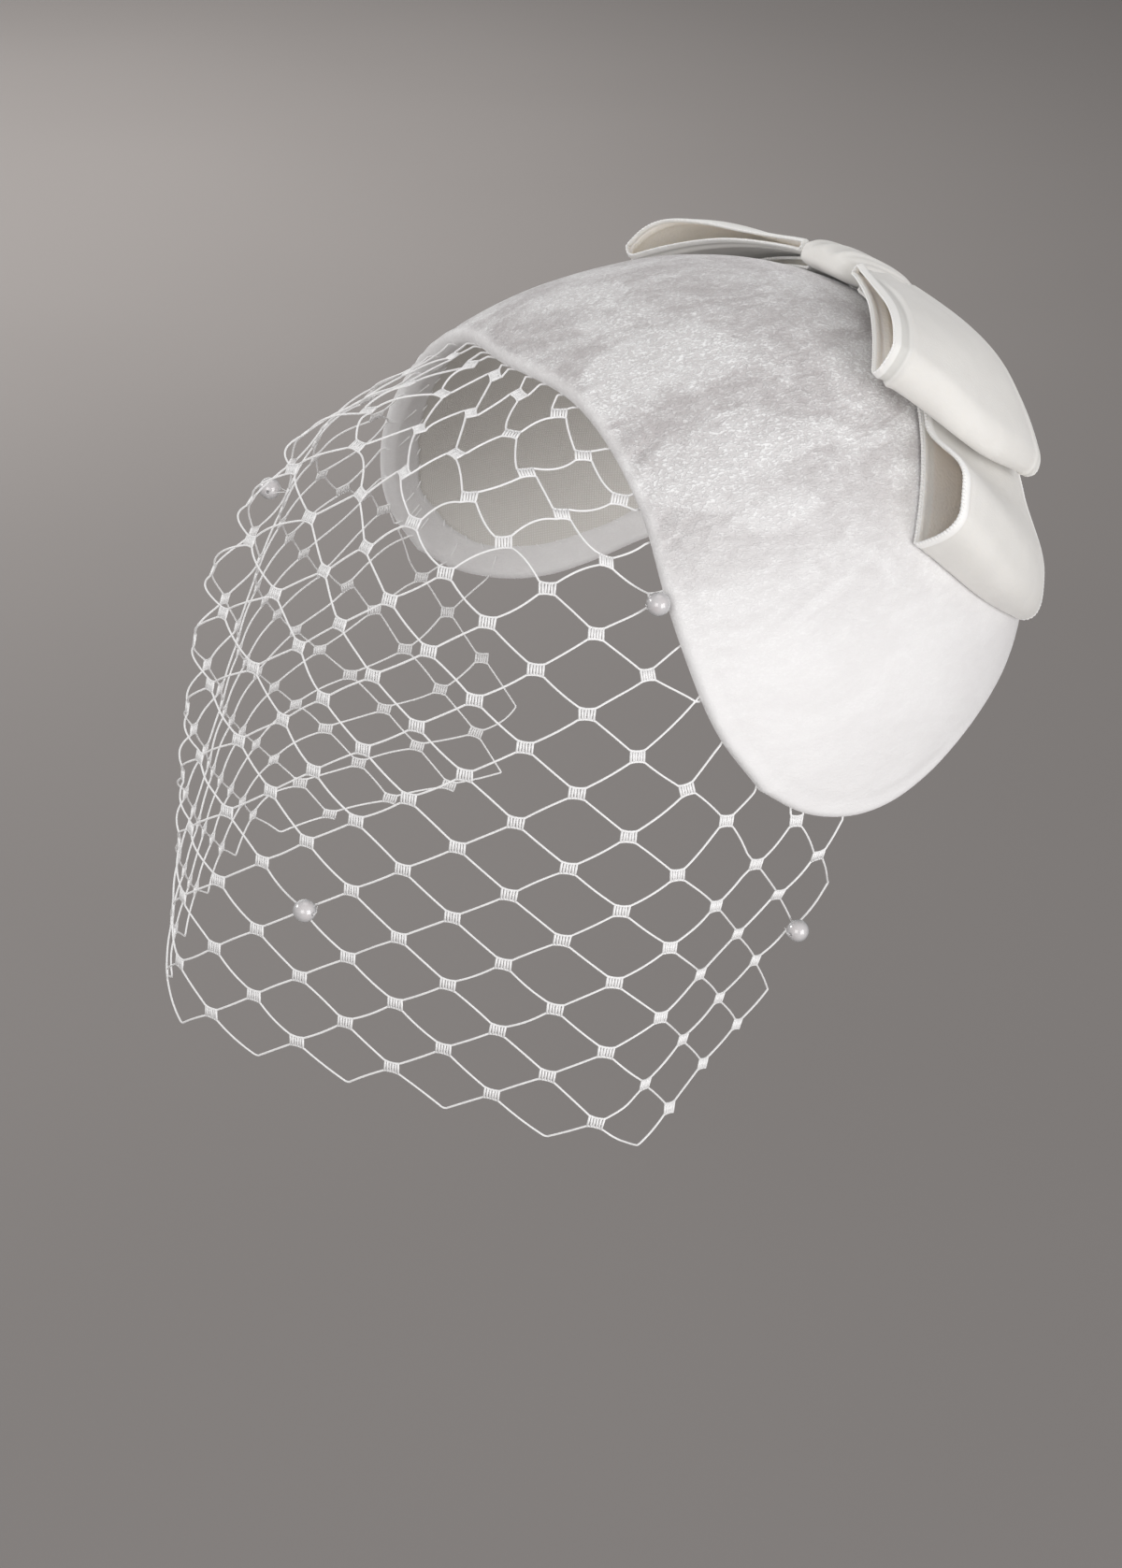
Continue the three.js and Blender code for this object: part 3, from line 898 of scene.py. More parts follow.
def round_off(run: Points, times: int = 1) -> Points:
    """Rounds the corners of an open line, keeping its ends.

    Args:
        run: the line's points.
        times: how often the corners are cut.

    Returns:
        A line with twice as many points each time.
    """
    for _ in range(times):
        near = run[:-1] * 0.75 + run[1:] * 0.25
        far = run[:-1] * 0.25 + run[1:] * 0.75
        middle = np.stack([near, far], axis=1).reshape(-1, 3)
        run = np.concatenate([run[:1], middle[1:-1], run[-1:]])
    return run


# ------------------------------ the head


@dataclass(frozen=True)
class Head:
    """The head that the hat is blocked on: an ellipsoid with its back end raised.

    Places on it are two angles in degrees from its centre: across, from the crown down to the
    left ear, and along, from the crown to the back.

    Attributes:
        half_width: half its width.
        half_length: half its length.
        half_height: half its height.
        tilt: how far its back end is raised, in degrees.
    """

    half_width: float = 76.8
    half_length: float = 98.2
    half_height: float = 80.3
    tilt: float = 24.7

    @property
    def centre(self) -> Points:
        """The head's centre; its highest point is the origin."""
        sine, cosine = math.sin(math.radians(self.tilt)), math.cos(math.radians(self.tilt))
        top = math.hypot(self.half_length * sine, self.half_height * cosine)
        setback = (self.half_length**2 - self.half_height**2) * sine * cosine / top
        return np.array([0.0, -setback, -top])

    def lifted(self, direction: Points, lift: Points) -> Points:
        """Points that lie lift outside the head.

        Args:
            direction: directions from the head's centre.
            lift: distance outside the surface, one number or one for each direction.

        Returns:
            One point for each direction.
        """
        sine, cosine = math.sin(math.radians(self.tilt)), math.cos(math.radians(self.tilt))
        lengthwise = direction[..., 1] * cosine + direction[..., 2] * sine
        upright = -direction[..., 1] * sine + direction[..., 2] * cosine
        reach = np.sqrt(
            (direction[..., 0] / (self.half_width + lift)) ** 2
            + (lengthwise / (self.half_length + lift)) ** 2
            + (upright / (self.half_height + lift)) ** 2
        )
        return direction / reach[..., None] + self.centre

    @staticmethod
    def direction(across: Points, along: Points) -> Points:
        """Direction of places from the head's centre, from their angles in degrees."""
        a, b = np.broadcast_arrays(np.radians(across), np.radians(along))
        return np.stack([np.sin(a) * np.cos(b), np.sin(b), np.cos(a) * np.cos(b)], axis=-1)

    def point(self, across: Points, along: Points, lift: Points) -> Points:
        """Points at places on the head, lifted outside its surface."""
        return self.lifted(self.direction(across, along), lift)


HEAD = Head()

# Distances outside the head: the base's inner face, the middle of its wall and its outer face.
FIT_LIFT = 0.3
WALL = 4.4
CORE_LIFT = FIT_LIFT + WALL / 2
OUTER_LIFT = FIT_LIFT + WALL

# The gap that neighbouring pieces keep.
SEAM_GAP = 0.35

# The base's edge, as places on the head: the front, round the lobe over an ear, and the back.

FRONT_EDGE = Table(
    ("across", "along"),
    ((-20, -21.5), (0, -24.5), (20, -21.5), (40, -21.2), (58, -22.2), (72, -20.6), (82, -17.4), (92, -11)),
)
LOBE_EDGE = Table(
    ("across", "along"),
    ((92, -11), (98, -2.6), (101.6, 7), (102.5, 16), (101, 25), (98, 33.5), (95.2, 40.5), (92, 48)),
)
LOBE_FRONT = Table(LOBE_EDGE.columns, LOBE_EDGE.rows[:4])
BACK_EDGE = Table(
    ("across", "along"),
    ((-25, 61), (0, 60), (25, 61), (48, 63), (66, 63), (78, 60.5), (86, 55.5), (92, 48)),
)


# ------------------------------ padded base


@dataclass(frozen=True)
class HatBase:
    """The padded base, from ear to ear, covered in crushed velvet that is turned in at its rim.

    Attributes:
        spine_across: how far the middle line of the mesh reaches from the crown, in degrees.
        spine_along: where that line lies, in degrees.
        edge_steps: mesh rows round the rolled edge.
        rows: mesh rows from the edge to the middle line.
        front_columns: mesh columns along the front edge.
        lobe_columns: mesh columns round a lobe.
        padding: how much the padding swells and dips.
        pucker: height of the small gathers along the front rim.
        pucker_pitch: distance between gathers.
        margin: width of velvet turned in inside the rim.
        margin_rows: mesh rows across it.
        least_crush: how crushed the pile is down the sides and inside, where it is least.
        cloth_pitch: millimetres of cloth for each degree across and along.
        stitch_pitch: distance between the hand stitches that hold the margin.
        stitch_length: length of a stitch.
        stitch_radius: half its thickness.
    """

    spine_across: float = 57.0
    spine_along: float = 20.0
    edge_steps: int = 7
    rows: int = 40
    front_columns: int = 240
    lobe_columns: int = 96
    padding: float = 0.32
    pucker: float = 0.85
    pucker_pitch: float = 6.5
    margin: float = 9.0
    margin_rows: int = 8
    least_crush: float = 0.15
    cloth_pitch: tuple[float, float] = (1.35, 1.5)
    stitch_pitch: float = 5.5
    stitch_length: float = 2.2
    stitch_radius: float = 0.2

    def outline(self, front_columns: int, lobe_columns: int) -> tuple[Points, Points]:
        """Places round the base's edge, starting at the front of the right ear.

        Args:
            front_columns: places along the front edge, and along the back.
            lobe_columns: places round each lobe.

        Returns:
            The angles across and along, as a closed ring.
        """
        widest = FRONT_EDGE.rows[-1][0]
        across = np.linspace(-widest, widest, front_columns, endpoint=False)
        t = np.linspace(0, 1, lobe_columns, endpoint=False)
        lobe = LOBE_EDGE.along("across", t), LOBE_EDGE.along("along", t)
        return_lobe = LOBE_EDGE.along("across", 1 - t), LOBE_EDGE.along("along", 1 - t)
        return (
            np.concatenate([across, lobe[0], -across, -return_lobe[0]]),
            np.concatenate([
                FRONT_EDGE.read("along", np.abs(across)), lobe[1],
                BACK_EDGE.read("along", np.abs(across)), return_lobe[1],
            ]),
        )

    def distance_to_edge(self, points: Points) -> Points:
        """How far places lie from the base's edge.

        Args:
            points: places halfway through the wall.

        Returns:
            One distance for each place.
        """
        across, along = self.outline(self.front_columns * 2, self.lobe_columns * 2)
        ring = HEAD.point(across, along, CORE_LIFT)
        tree = kdtree.KDTree(len(ring))
        for k, place in enumerate(ring):
            tree.insert(place, k)
        tree.balance()
        nearest = np.array([tree.find(p)[1] for p in points])
        best = np.full(len(points), np.inf)
        for step in (0, -1):
            start, end = ring[(nearest + step) % len(ring)], ring[(nearest + step + 1) % len(ring)]
            side = end - start
            t = np.clip(((points - start) * side).sum(1) / (side**2).sum(1), 0, 1)
            best = np.minimum(best, np.linalg.norm(start + t[:, None] * side - points, axis=1))
        return best

    def build(self, velvet: Material, back: Material) -> Piece:
        """Makes the base and dresses it.

        Args:
            velvet: material of the cover.
            back: material of the cloth inside.

        Returns:
            The base.
        """
        edge_across, edge_along = self.outline(self.front_columns, self.lobe_columns)
        across, along, last_turned = self._places(edge_across, edge_along)
        columns, rows = across.shape
        core = HEAD.point(across, along, CORE_LIFT)
        distance = self.distance_to_edge(core.reshape(-1, 3)).reshape(across.shape)
        distance[:, 0] = 0
        radius = WALL / 2
        roll = radius * np.sqrt(1 - (1 - np.clip(distance / radius, 0, 1)) ** 2)
        swell = self._swell(core, across, along, distance)
        turned = np.arange(rows) <= last_turned
        margin = 0.25 * turned * smooth_step(0.5, 2.5, distance)
        outer = HEAD.point(across, along, CORE_LIFT + roll + swell)
        inner = HEAD.point(across, along, CORE_LIFT - roll - margin)
        points = np.concatenate([outer.reshape(-1, 3), inner.reshape(-1, 3)])
        shell = grid_faces((columns, rows), (True, False))
        lining = shell[:, ::-1] + columns * rows
        piece = make_mesh("hat_base_velvet", points, np.concatenate([shell, lining]))
        piece.data.materials.append(velvet)
        piece.data.materials.append(back)
        inside = np.tile(np.arange(rows - 1) > last_turned, columns)
        slots = np.concatenate([np.zeros(len(shell), int), inside.astype(int)])
        piece.data.polygons.foreach_set("material_index", slots)
        crush = self.least_crush + (1 - self.least_crush) * smooth_step(78, 30, np.abs(across))
        # Lowered along the rim, which paints the rim lighter and whiter: a painted highlight of the pile.
        crush *= 0.4 + 0.6 * smooth_step(0.4, 3, distance)
        set_attribute(piece, "crush", np.concatenate([crush.ravel(), np.full(crush.size, self.least_crush)]))
        cloth = np.stack([across, along], axis=-1).reshape(-1, 2) * self.cloth_pitch
        self._lay_cloth(piece, np.concatenate([cloth, cloth]))
        weld(piece)
        return piece

    def _places(self, edge_across: Points, edge_along: Points) -> tuple[Points, Points, int]:
        """Places of the mesh, a row of them from each place on the edge to the middle line.

        Args:
            edge_across: places on the edge, in degrees.
            edge_along: the same.

        Returns:
            The angles across and along, and the last row of the turned-in velvet.
        """
        reach = self._reach(edge_across, edge_along)[:, None]
        angle = np.linspace(0, math.pi / 2, self.edge_steps + 1)
        rolled = WALL / 2 * (1 - np.cos(angle)) / reach
        turn_in = self.turn_in(edge_across, edge_along)[:, None]
        cut = turn_in + 0.3 / reach
        margin = rolled[:, -1:] + np.linspace(0, 1, self.margin_rows + 1)[1:] * (turn_in - rolled[:, -1:])
        depth = np.concatenate([rolled, margin, cut + np.linspace(0, 1, self.rows) * (1 - cut)], axis=1)
        across, along = self.inward(edge_across[:, None], edge_along[:, None], depth)
        return across, along, self.edge_steps + self.margin_rows

    def _reach(self, across: Points, along: Points) -> Points:
        """Distance from places on the edge to the mesh's middle line.

        Args:
            across: places on the edge, in degrees.
            along: the same.

        Returns:
            One distance for each place.
        """
        middle = self.inward(across, along, np.array(1.0))
        gap = HEAD.point(across, along, CORE_LIFT) - HEAD.point(*middle, CORE_LIFT)
        return np.linalg.norm(gap, axis=1)

    def inward(self, across: Points, along: Points, depth: Points) -> tuple[Points, Points]:
        """Angles of places part of the way, from 0 to 1, from the edge to the mesh's middle line."""
        spine = np.clip(across / FRONT_EDGE.rows[-1][0], -1, 1) * self.spine_across
        return across + depth * (spine - across), along + depth * (self.spine_along - along)

    def turn_in(self, across: Points, along: Points) -> Points:
        """Where the turned-in velvet ends, a little unevenly.

        Args:
            across: places on the edge, in degrees.
            along: the same.

        Returns:
            The part of the way to the mesh's middle line, for each place.
        """
        trial = np.linspace(0, 2.2 * self.margin, 23) / self._reach(across, along)[:, None]
        core = HEAD.point(*self.inward(across[:, None], along[:, None], trial), CORE_LIFT)
        distance = self.distance_to_edge(core.reshape(-1, 3)).reshape(trial.shape)
        width = self.margin + 0.8 * wander(HEAD.point(across, along, CORE_LIFT), 14, 3.7)
        return np.array([np.interp(w, d, t) for w, d, t in zip(width, distance, trial)])

    def _swell(self, core: Points, across: Points, along: Points, distance: Points) -> Points:
        """Lift of the padding: slow swells, gathers square to the front rim, and a dent along it.

        Args:
            core: points in the middle of the wall.
            across: their angles across, in degrees.
            along: their angles along.
            distance: their distance from the edge.

        Returns:
            One lift for each point.
        """
        swell = self.padding * (0.7 * wander(core, 30, 1.3) + 0.3 * wander(core, 11, 8.1))
        under_bow = smooth_step(10, 22, along) * smooth_step(90, 70, np.abs(across))
        swell = np.minimum(swell, 0.3) * (1 - 0.6 * under_bow)
        swell *= smooth_step(0.5, 6, distance)
        rim = core[:, :1]
        front = smooth_step(-4, -12, along[:, :1])
        front = front * (0.35 + 0.65 * smooth_step(62, 40, np.abs(across[:, :1])))
        turns = arc_lengths(rim[:, 0])[:, None] / self.pucker_pitch
        phase = 2 * math.pi * turns + 2.5 * wander(rim, 16, 5.5)
        strength = np.clip(0.55 + 0.9 * wander(rim, 12, 9.4), 0.1, 1.3)
        reach = smooth_step(0.4, 2.6, distance) * smooth_step(13, 3.5, distance)
        gathers = self.pucker * (np.sin(phase) - 0.35) * 0.5 * strength * front * reach
        dent = -0.18 * np.exp(-(((distance - 4.5) / 1.4) ** 2))
        return swell + gathers + dent * smooth_step(40, 20, np.abs(along))

    @staticmethod
    def _lay_cloth(piece: Piece, cloth: Points) -> None:
        """Stores the cloth's own coordinates as a UV map.

        Args:
            piece: the object that gets the map.
            cloth: the coordinates of each corner, in millimetres.
        """
        layer = piece.data.uv_layers.new(name="cloth")
        corners = np.zeros(len(piece.data.loops), int)
        piece.data.loops.foreach_get("vertex_index", corners)
        layer.data.foreach_set("uv", cloth[corners].astype(np.float32).ravel())

    def stitches(self, thread: Material) -> Piece:
        """Makes the slanted hand stitches that hold the turned-in velvet.

        Args:
            thread: material of the sewing thread.

        Returns:
            The stitches.
        """
        across, along = self.outline(self.front_columns, self.lobe_columns)
        raw_edge = self.inward(across, along, self.turn_in(across, along))
        line = HEAD.point(*raw_edge, FIT_LIFT - 0.28)
        points, ahead = pace(np.concatenate([line, line[:1]]), self.stitch_pitch, 1.0)
        inward = unit(np.cross(unit(points - HEAD.centre), ahead))
        lengths = np.full(len(points), self.stitch_length)
        piece = point_piece("rim_stitches", points, unit(ahead + 0.8 * inward), lengths)
        grow(piece, GrowRow(Repeat.STITCH, self.stitch_radius), thread)
        return piece


# ------------------------------ veil


class Stop(Enum):
    """What a strand of the net meets at a crossing."""

    KNOT = "knot"
    SEAM = "seam"
    TIP = "tip"
    GONE = "gone"


@dataclass(frozen=True)
class Crossing:
    """A crossing of the net.

    Attributes:
        kind: what is there.
        column: number of its column, counted towards the left ear.
        row: number of its row, counted down.
    """

    kind: Stop
    column: int
    row: int


@dataclass(frozen=True)
class Veil:
    """The birdcage veil: a diamond net of nylon thread with woven knots, sewn under the front edge.

    A place on it is reach, in knot columns from the middle, and row, in knot rows.

    Attributes:
        base: the hat's base, which it is sewn to.
        plan: plan curve of the net at every fourth row.
        levels: height, drop towards the ear, and column spacing at those rows.
        seam: where the net is sewn to the edge.
        turn: how far the net swings forward and hangs lower past the middle, towards the right ear.
        turn_rows: how much of that each row takes.
        swing_heading: heading of the swing, in degrees from the front towards the right ear.
        pull_in: rows over which it is drawn in to the seam.
        drop_span: distance from the middle at which the drop is reached.
        first_column: number of the column beyond the last knots on the wearer's right.
        last_column: the same on the left.
        first_row: number of the highest row of knots.
        last_row: number of the row of knots at the hem.
        first_reach: reach of column 0 at row 0.
        slant: how much the reach of a column grows with each row.
        widest: reach of the last knots at the sides.
        corner: limit of row plus slope times reach at the lower corners.
        corner_slope: that slope.
        knot_half: half the width of a knot.
        knot_height: half its height.
        bars: number of threads across a knot.
        corner_place: a knot's corner, in columns and rows from its middle.
        pinch: how far a knot's edge is drawn in at its middle, and how far it stands out there.
        gathered_rows: rows between which the gathers at the seam fade out, from the lower one.
        leaning_rows: the same for the lean of the knots.
        lean: angle by which a gathered knot leans, in degrees, at most.
        gathered_sag: how much more the gathered threads sag.
        side_tip: columns by which a tip at the side is drawn in.
        hem_tip: half the width of a tip at the hem, in columns, and the rows by which it is drawn up.
        thread: radius of the thread.
        bar_thread: radius of the threads across a knot.
        lowest_knot: rows below the seam at which the first knot may lie.
        billow: how far a thread bows out of the net.
        unevenness: how much that varies.
        fold_reach: where the net stands out in a soft fold.
        fold_width: half the fold's width, in columns.
        fold_height: how far it stands out.
        fold_rows: rows over which it fades, from none to all of it.
        sag: how far a thread sways along the net.
    """

    base: HatBase
    plan: Table = Table(
        ("row", "front", "nose_x", "cheek_x", "cheek_y", "ear_x", "ear_y"),
        (
            (-4, -53.5, 35, 42, -57.5, 75, 1.5),
            (0, -85, 32, 49, -88, 78, -8.5),
            (4, -109, 18.5, 90, -88.5, 67, -20),
            (8, -122.5, 9, 102, -90.5, 76, -27),
            (12, -131.5, 12, 100.5, -84.5, 82.5, -48.5),
            (16, -137, 25, 91, -76, 88.5, -71.5),
        ),
    )
    levels: Table = Table(
        ("row", "height", "drop", "pitch"),
        (
            (-4, 0.5, 25, 8),
            (0, -21.5, 35, 10.2),
            (4, -50.5, 30, 11.8),
            (8, -82, 31.5, 12.1),
            (12, -114, 29, 12.1),
            (16, -145.5, 29.8, 11.8),
        ),
    )
    seam: Table = Table(
        ("reach", "row", "across"),
        (
            (-2.6, -3.5, -9.6),
            (0, -3.3, 0),
            (2.6, -3.5, 9.6),
            (4.6, -3.4, 18),
            (5.6, -2.8, 26),
            (6.7, -1.5, 37),
            (7.9, 1.6, 54.5),
            (9.2, 4.9, 74),
            (10.3, 6.6, 85),
            (11.4, 7.3, 93),
            (12.4, 7.8, 97.5),
            (13.5, 8, 100.5),
            (14.6, 8.35, 101.9),
        ),
    )
    turn: Table = Table(
        ("reach", "swing", "drop"),
        (
            (-14.6, 0, 0),
            (-11.5, 0, 2),
            (-8.5, -0.4, 6),
            (-6, -2, 9.6),
            (-3.8, -3.3, 11),
            (-2.8, 1.2, 7.6),
            (-1.8, 7, 3.9),
            (-0.8, 3.6, 0.9),
            (0.2, -1.4, 0.3),
            (1.2, -2, 0),
            (2.4, 0, 0),
            (4, 0, 0),
        ),
    )
    turn_rows: Table = Table(
        ("row", "swing", "drop"),
        ((-4, 0.5, 0.5), (0, 0.7, 0.8), (4, 1, 1), (8, 0.68, 0.86), (12, 0.2, 0.6), (16, 0, 0.35)),
    )
    swing_heading: float = 30.7
    pull_in: float = 4.0
    drop_span: float = 172.0
    first_column: int = -21
    last_column: int = 8
    first_row: int = -3
    last_row: int = 16
    first_reach: float = 5.8
    slant: float = 0.081
    widest: float = 13.78
    corner: float = 28.3
    corner_slope: float = 1.088
    knot_half: float = 1.75
    knot_height: float = 1.3
    bars: int = 6
    corner_place: tuple[float, float] = (0.148, 0.16)
    pinch: tuple[float, float] = (0.22, 0.06)
    gathered_rows: tuple[float, float] = (3.5, -1.0)
    leaning_rows: tuple[float, float] = (2.6, -1.0)
    lean: float = 26.0
    gathered_sag: float = 5.0
    side_tip: float = 0.14
    hem_tip: tuple[float, float] = (0.035, 0.1)
    thread: float = 0.24
    bar_thread: float = 0.27
    lowest_knot: float = 0.12
    billow: float = 0.2
    unevenness: float = 0.35
    fold_reach: float = -1.15
    fold_width: float = 0.75
    fold_height: float = 1.5
    fold_rows: tuple[float, float] = (13.5, 10.5)
    sag: float = 0.6

    def hanging(self, reach: Points, row: Points) -> Points:
        """Places on the net before it is drawn in to the seam, on the left of the middle.

        Args:
            reach: knot columns from the middle, not negative.
            row: knot rows.

        Returns:
            One point for each place.
        """
        reach, row = np.broadcast_arrays(np.asarray(reach, float), np.asarray(row, float))
        shape = reach.shape
        reach, row = reach.ravel(), row.ravel()
        held = np.minimum(row, self.last_row)
        front, nose_x, cheek_x, cheek_y, ear_x, ear_y = (
            self.plan.read(name, held)[:, None] for name in self.plan.columns[1:]
        )
        t = np.linspace(0, 1, 101)[None]
        near, far, late = (1 - t) ** 3 + 3 * (1 - t) ** 2 * t, 3 * (1 - t) * t**2, t**3
        x = 3 * (1 - t) ** 2 * t * nose_x + far * cheek_x + late * ear_x
        y = near * front + far * cheek_y + late * ear_y
        steps = np.hypot(np.diff(x), np.diff(y))
        arc = np.concatenate([np.zeros((len(row), 1)), np.cumsum(steps, axis=1)], axis=1)
        distance = reach * self.levels.read("pitch", row)
        k = np.clip((arc < distance[:, None]).sum(axis=1) - 1, 0, steps.shape[1] - 1)
        i = np.arange(len(row))
        part = (distance - arc[i, k]) / steps[i, k]
        height = self.levels.read("height", row)
        height = height - self.levels.read("drop", row) * (distance / self.drop_span) ** 3
        points = np.stack([
            x[i, k] + part * (x[i, k + 1] - x[i, k]),
            y[i, k] + part * (y[i, k + 1] - y[i, k]),
            height,
        ], axis=-1)
        return points.reshape(shape + (3,))

    @staticmethod
    def edge_place(across: Points) -> tuple[Points, Points]:
        """Place on the hat's front edge, or on the front of its lobe.

        Args:
            across: angles across, in degrees.

        Returns:
            The angles across and along.
        """
        across = np.asarray(across, float)
        on_front = across < FRONT_EDGE.rows[-1][0]
        along = np.where(on_front, FRONT_EDGE.read("along", across), LOBE_FRONT.read("along", across))
        return across, along

    def seam_point(self, reach: Points) -> Points:
        """Where the net meets the hat's edge, on the left of the middle.

        Args:
            reach: knot columns from the middle, not negative.

        Returns:
            One point for each place.
        """
        across = self.seam.read("across", reach)
        here = HEAD.point(*self.edge_place(across), CORE_LIFT)
        forward = here - HEAD.point(*self.edge_place(across - 1), CORE_LIFT)
        return here + unit(np.cross(forward, here - HEAD.centre)) * (SEAM_GAP + 0.4)

    def point(self, reach: Points, row: Points) -> Points:
        """Places on the net.

        Args:
            reach: knot columns from the middle, negative towards the right ear.
            row: knot rows.

        Returns:
            One point for each place.
        """
        reach, row = np.broadcast_arrays(np.asarray(reach, float), np.asarray(row, float))
        distance = np.abs(reach)
        top = self.seam.read("row", distance)
        points = self.hanging(distance, row)
        depth = np.clip((row - top) / self.pull_in, 0, 1)
        pull = (1 - depth) ** 2 * (1 + 2 * depth)
        points = points + (self.seam_point(distance) - self.hanging(distance, top)) * pull[..., None]
        points[..., 0] *= np.where(reach < 0, -1, 1)
        held = np.clip(reach, self.turn.rows[0][0], self.turn.rows[-1][0])
        swing = self.turn.read("swing", held) * self.turn_rows.read("swing", row) * (1 - pull)
        drop = self.turn.read("drop", held) * self.turn_rows.read("drop", row) * (1 - pull)
        heading = math.radians(self.swing_heading)
        way = np.array([-math.sin(heading), -math.cos(heading), 0.0])
        return points + swing[..., None] * way - drop[..., None] * np.array([0.0, 0.0, 1.0])

    def frame(self, reach: float, row: float) -> tuple[Points, Points, Points]:
        """Directions at a place on the net.

        Args:
            reach: knot columns from the middle.
            row: knot rows.

        Returns:
            Across, down and outward.
        """
        step = 0.25 * np.array([1, -1, 0, 0])
        left, right, below, above = self.point(reach + step, row + step[[2, 3, 0, 1]])
        across = unit(left - right)
        outward = unit(np.cross(across, above - below))
        down = np.cross(across, outward)
        turn = math.radians(self.twist(reach, row))
        turned = across * math.cos(turn) + down * math.sin(turn)
        return turned, np.cross(turned, outward), outward

    def twist(self, reach: float, row: float) -> float:
        """How far a knot is turned in the net, in degrees; the gathered top rows lean most."""
        gathered = float(smooth_step(*self.leaning_rows, np.array(row)))
        return self.lean * gathered * math.sin(0.9 * reach + 0.4)

    def reach(self, column: int, row: float) -> float:
        """Reach of a column at a row."""
        return self.first_reach + self.slant * row + column

    def crossing(self, column: int, row: int) -> Crossing:
        """Says what lies at a crossing of the net.

        Args:
            column: its column.
            row: its row.

        Returns:
            The crossing.
        """
        if not self._hangs(column, row):
            return Crossing(Stop.SEAM, column, row)
        if self._is_knot(column, row):
            return Crossing(Stop.KNOT, column, row)
        inward = -1 if column > -self.first_reach else 1
        if row == self.last_row + 1:
            neighbours = ((column - 1, row - 1), (column + 1, row - 1))
        else:
            neighbours = ((column + inward, row - 1), (column + inward, row + 1))
        is_tip = all(self._is_knot(*neighbour) for neighbour in neighbours)
        return Crossing(Stop.TIP if is_tip else Stop.GONE, column, row)

    def _hangs(self, column: int, row: int) -> bool:
        """Whether a crossing lies below the seam."""
        reach = abs(self.reach(column, row))
        return row >= float(self.seam.read("row", np.array(reach))) + self.lowest_knot

    def _is_knot(self, column: int, row: int) -> bool:
        """Whether a crossing is a knot.

        Args:
            column: its column.
            row: its row.

        Returns:
            True for a knot.
        """
        reach = abs(self.reach(column, row))
        within = reach <= self.widest and row <= self.last_row
        return within and self._hangs(column, row) and row + self.corner_slope * reach <= self.corner

    @property
    def columns(self) -> range:
        """Columns of the net, one beyond the last knots at each side."""
        return range(self.first_column, self.last_column + 1)

    def _corner(self, stop: Crossing, edge: int, side: int) -> tuple[Points, Points]:
        """A knot's corner, or a tip.

        Args:
            stop: the knot or the tip.
            edge: 1 for its bottom, -1 for its top.
            side: 1 for its end towards the left ear, -1 for the other.

        Returns:
            Its place on the net, as reach and row, and its point.
        """
        reach = self.reach(stop.column, stop.row)
        if stop.kind is Stop.TIP:
            at_hem = stop.row > self.last_row
            half, rise = self.hem_tip if at_hem else (0.0, 0.0)
            inward = 0.0 if at_hem else math.copysign(self.side_tip, reach)
            place = np.array([reach + half * side - inward, stop.row - rise])
            return place, self.point(place[0], place[1])
        across, down, _ = self.frame(reach, stop.row)
        centre = self.point(reach, stop.row)
        place = np.array([reach, stop.row]) + np.array(self.corner_place) * (side, edge)
        return place, centre + across * self.knot_half * side + down * self.knot_height * edge

    def _plateau(self, stop: Crossing, edge: int) -> list:
        """The thread along a knot's top or bottom, or round a tip.

        Args:
            stop: the knot or the tip.
            edge: 1 for its bottom, -1 for its top.

        Returns:
            The thread's points.
        """
        _, left = self._corner(stop, edge, -1)
        _, right = self._corner(stop, edge, 1)
        if stop.kind is Stop.TIP:
            return [left, right] if stop.row > self.last_row else [left]
        _, down, outward = self.frame(self.reach(stop.column, stop.row), stop.row)
        drawn_in, out = self.pinch
        return [left, (left + right) / 2 - down * edge * drawn_in + outward * out, right]

    def _side(self, start: Crossing, end: Crossing, edge: int) -> Points:
        """The thread between two crossings, without its ends.

        Args:
            start: the crossing that it leaves.
            end: the next one towards the left ear.
            edge: 1 where it leaves the bottom of a knot, -1 where it leaves the top.

        Returns:
            The thread's points.
        """
        here, here_point = self._corner(start, edge, 1)
        there, there_point = self._corner(end, -edge, -1)
        t = np.array([0.07, 0.2, 0.36, 0.5, 0.64, 0.8, 0.93])
        net = here + t[:, None] * (there - here)
        line = self.point(net[:, 0], net[:, 1])
        ends = self.point(np.array([here[0], there[0]]), np.array([here[1], there[1]]))
        line = line + (1 - t[:, None]) * (here_point - ends[0]) + t[:, None] * (there_point - ends[1])
        middle = (here + there) / 2
        _, down, outward = self.frame(middle[0], middle[1])
        chance = noise.noise(Vector((middle[0] * 0.83, middle[1] * 0.71, 4.2)))
        gathered = float(smooth_step(*self.gathered_rows, np.array(middle[1])))
        fold = math.exp(-(((middle[0] - self.fold_reach) / self.fold_width) ** 2))
        fold *= float(smooth_step(*self.fold_rows, np.array(middle[1])))
        bow = self.billow + self.fold_height * fold + self.unevenness * chance
        other_chance = noise.noise(Vector((middle[0] * 1.3, middle[1] * 1.1, 9.7)))
        sway = self.sag * (1 + self.gathered_sag * gathered) * other_chance
        arch = (4 * t * (1 - t))[:, None]
        return line + arch * (bow * outward + sway * down)

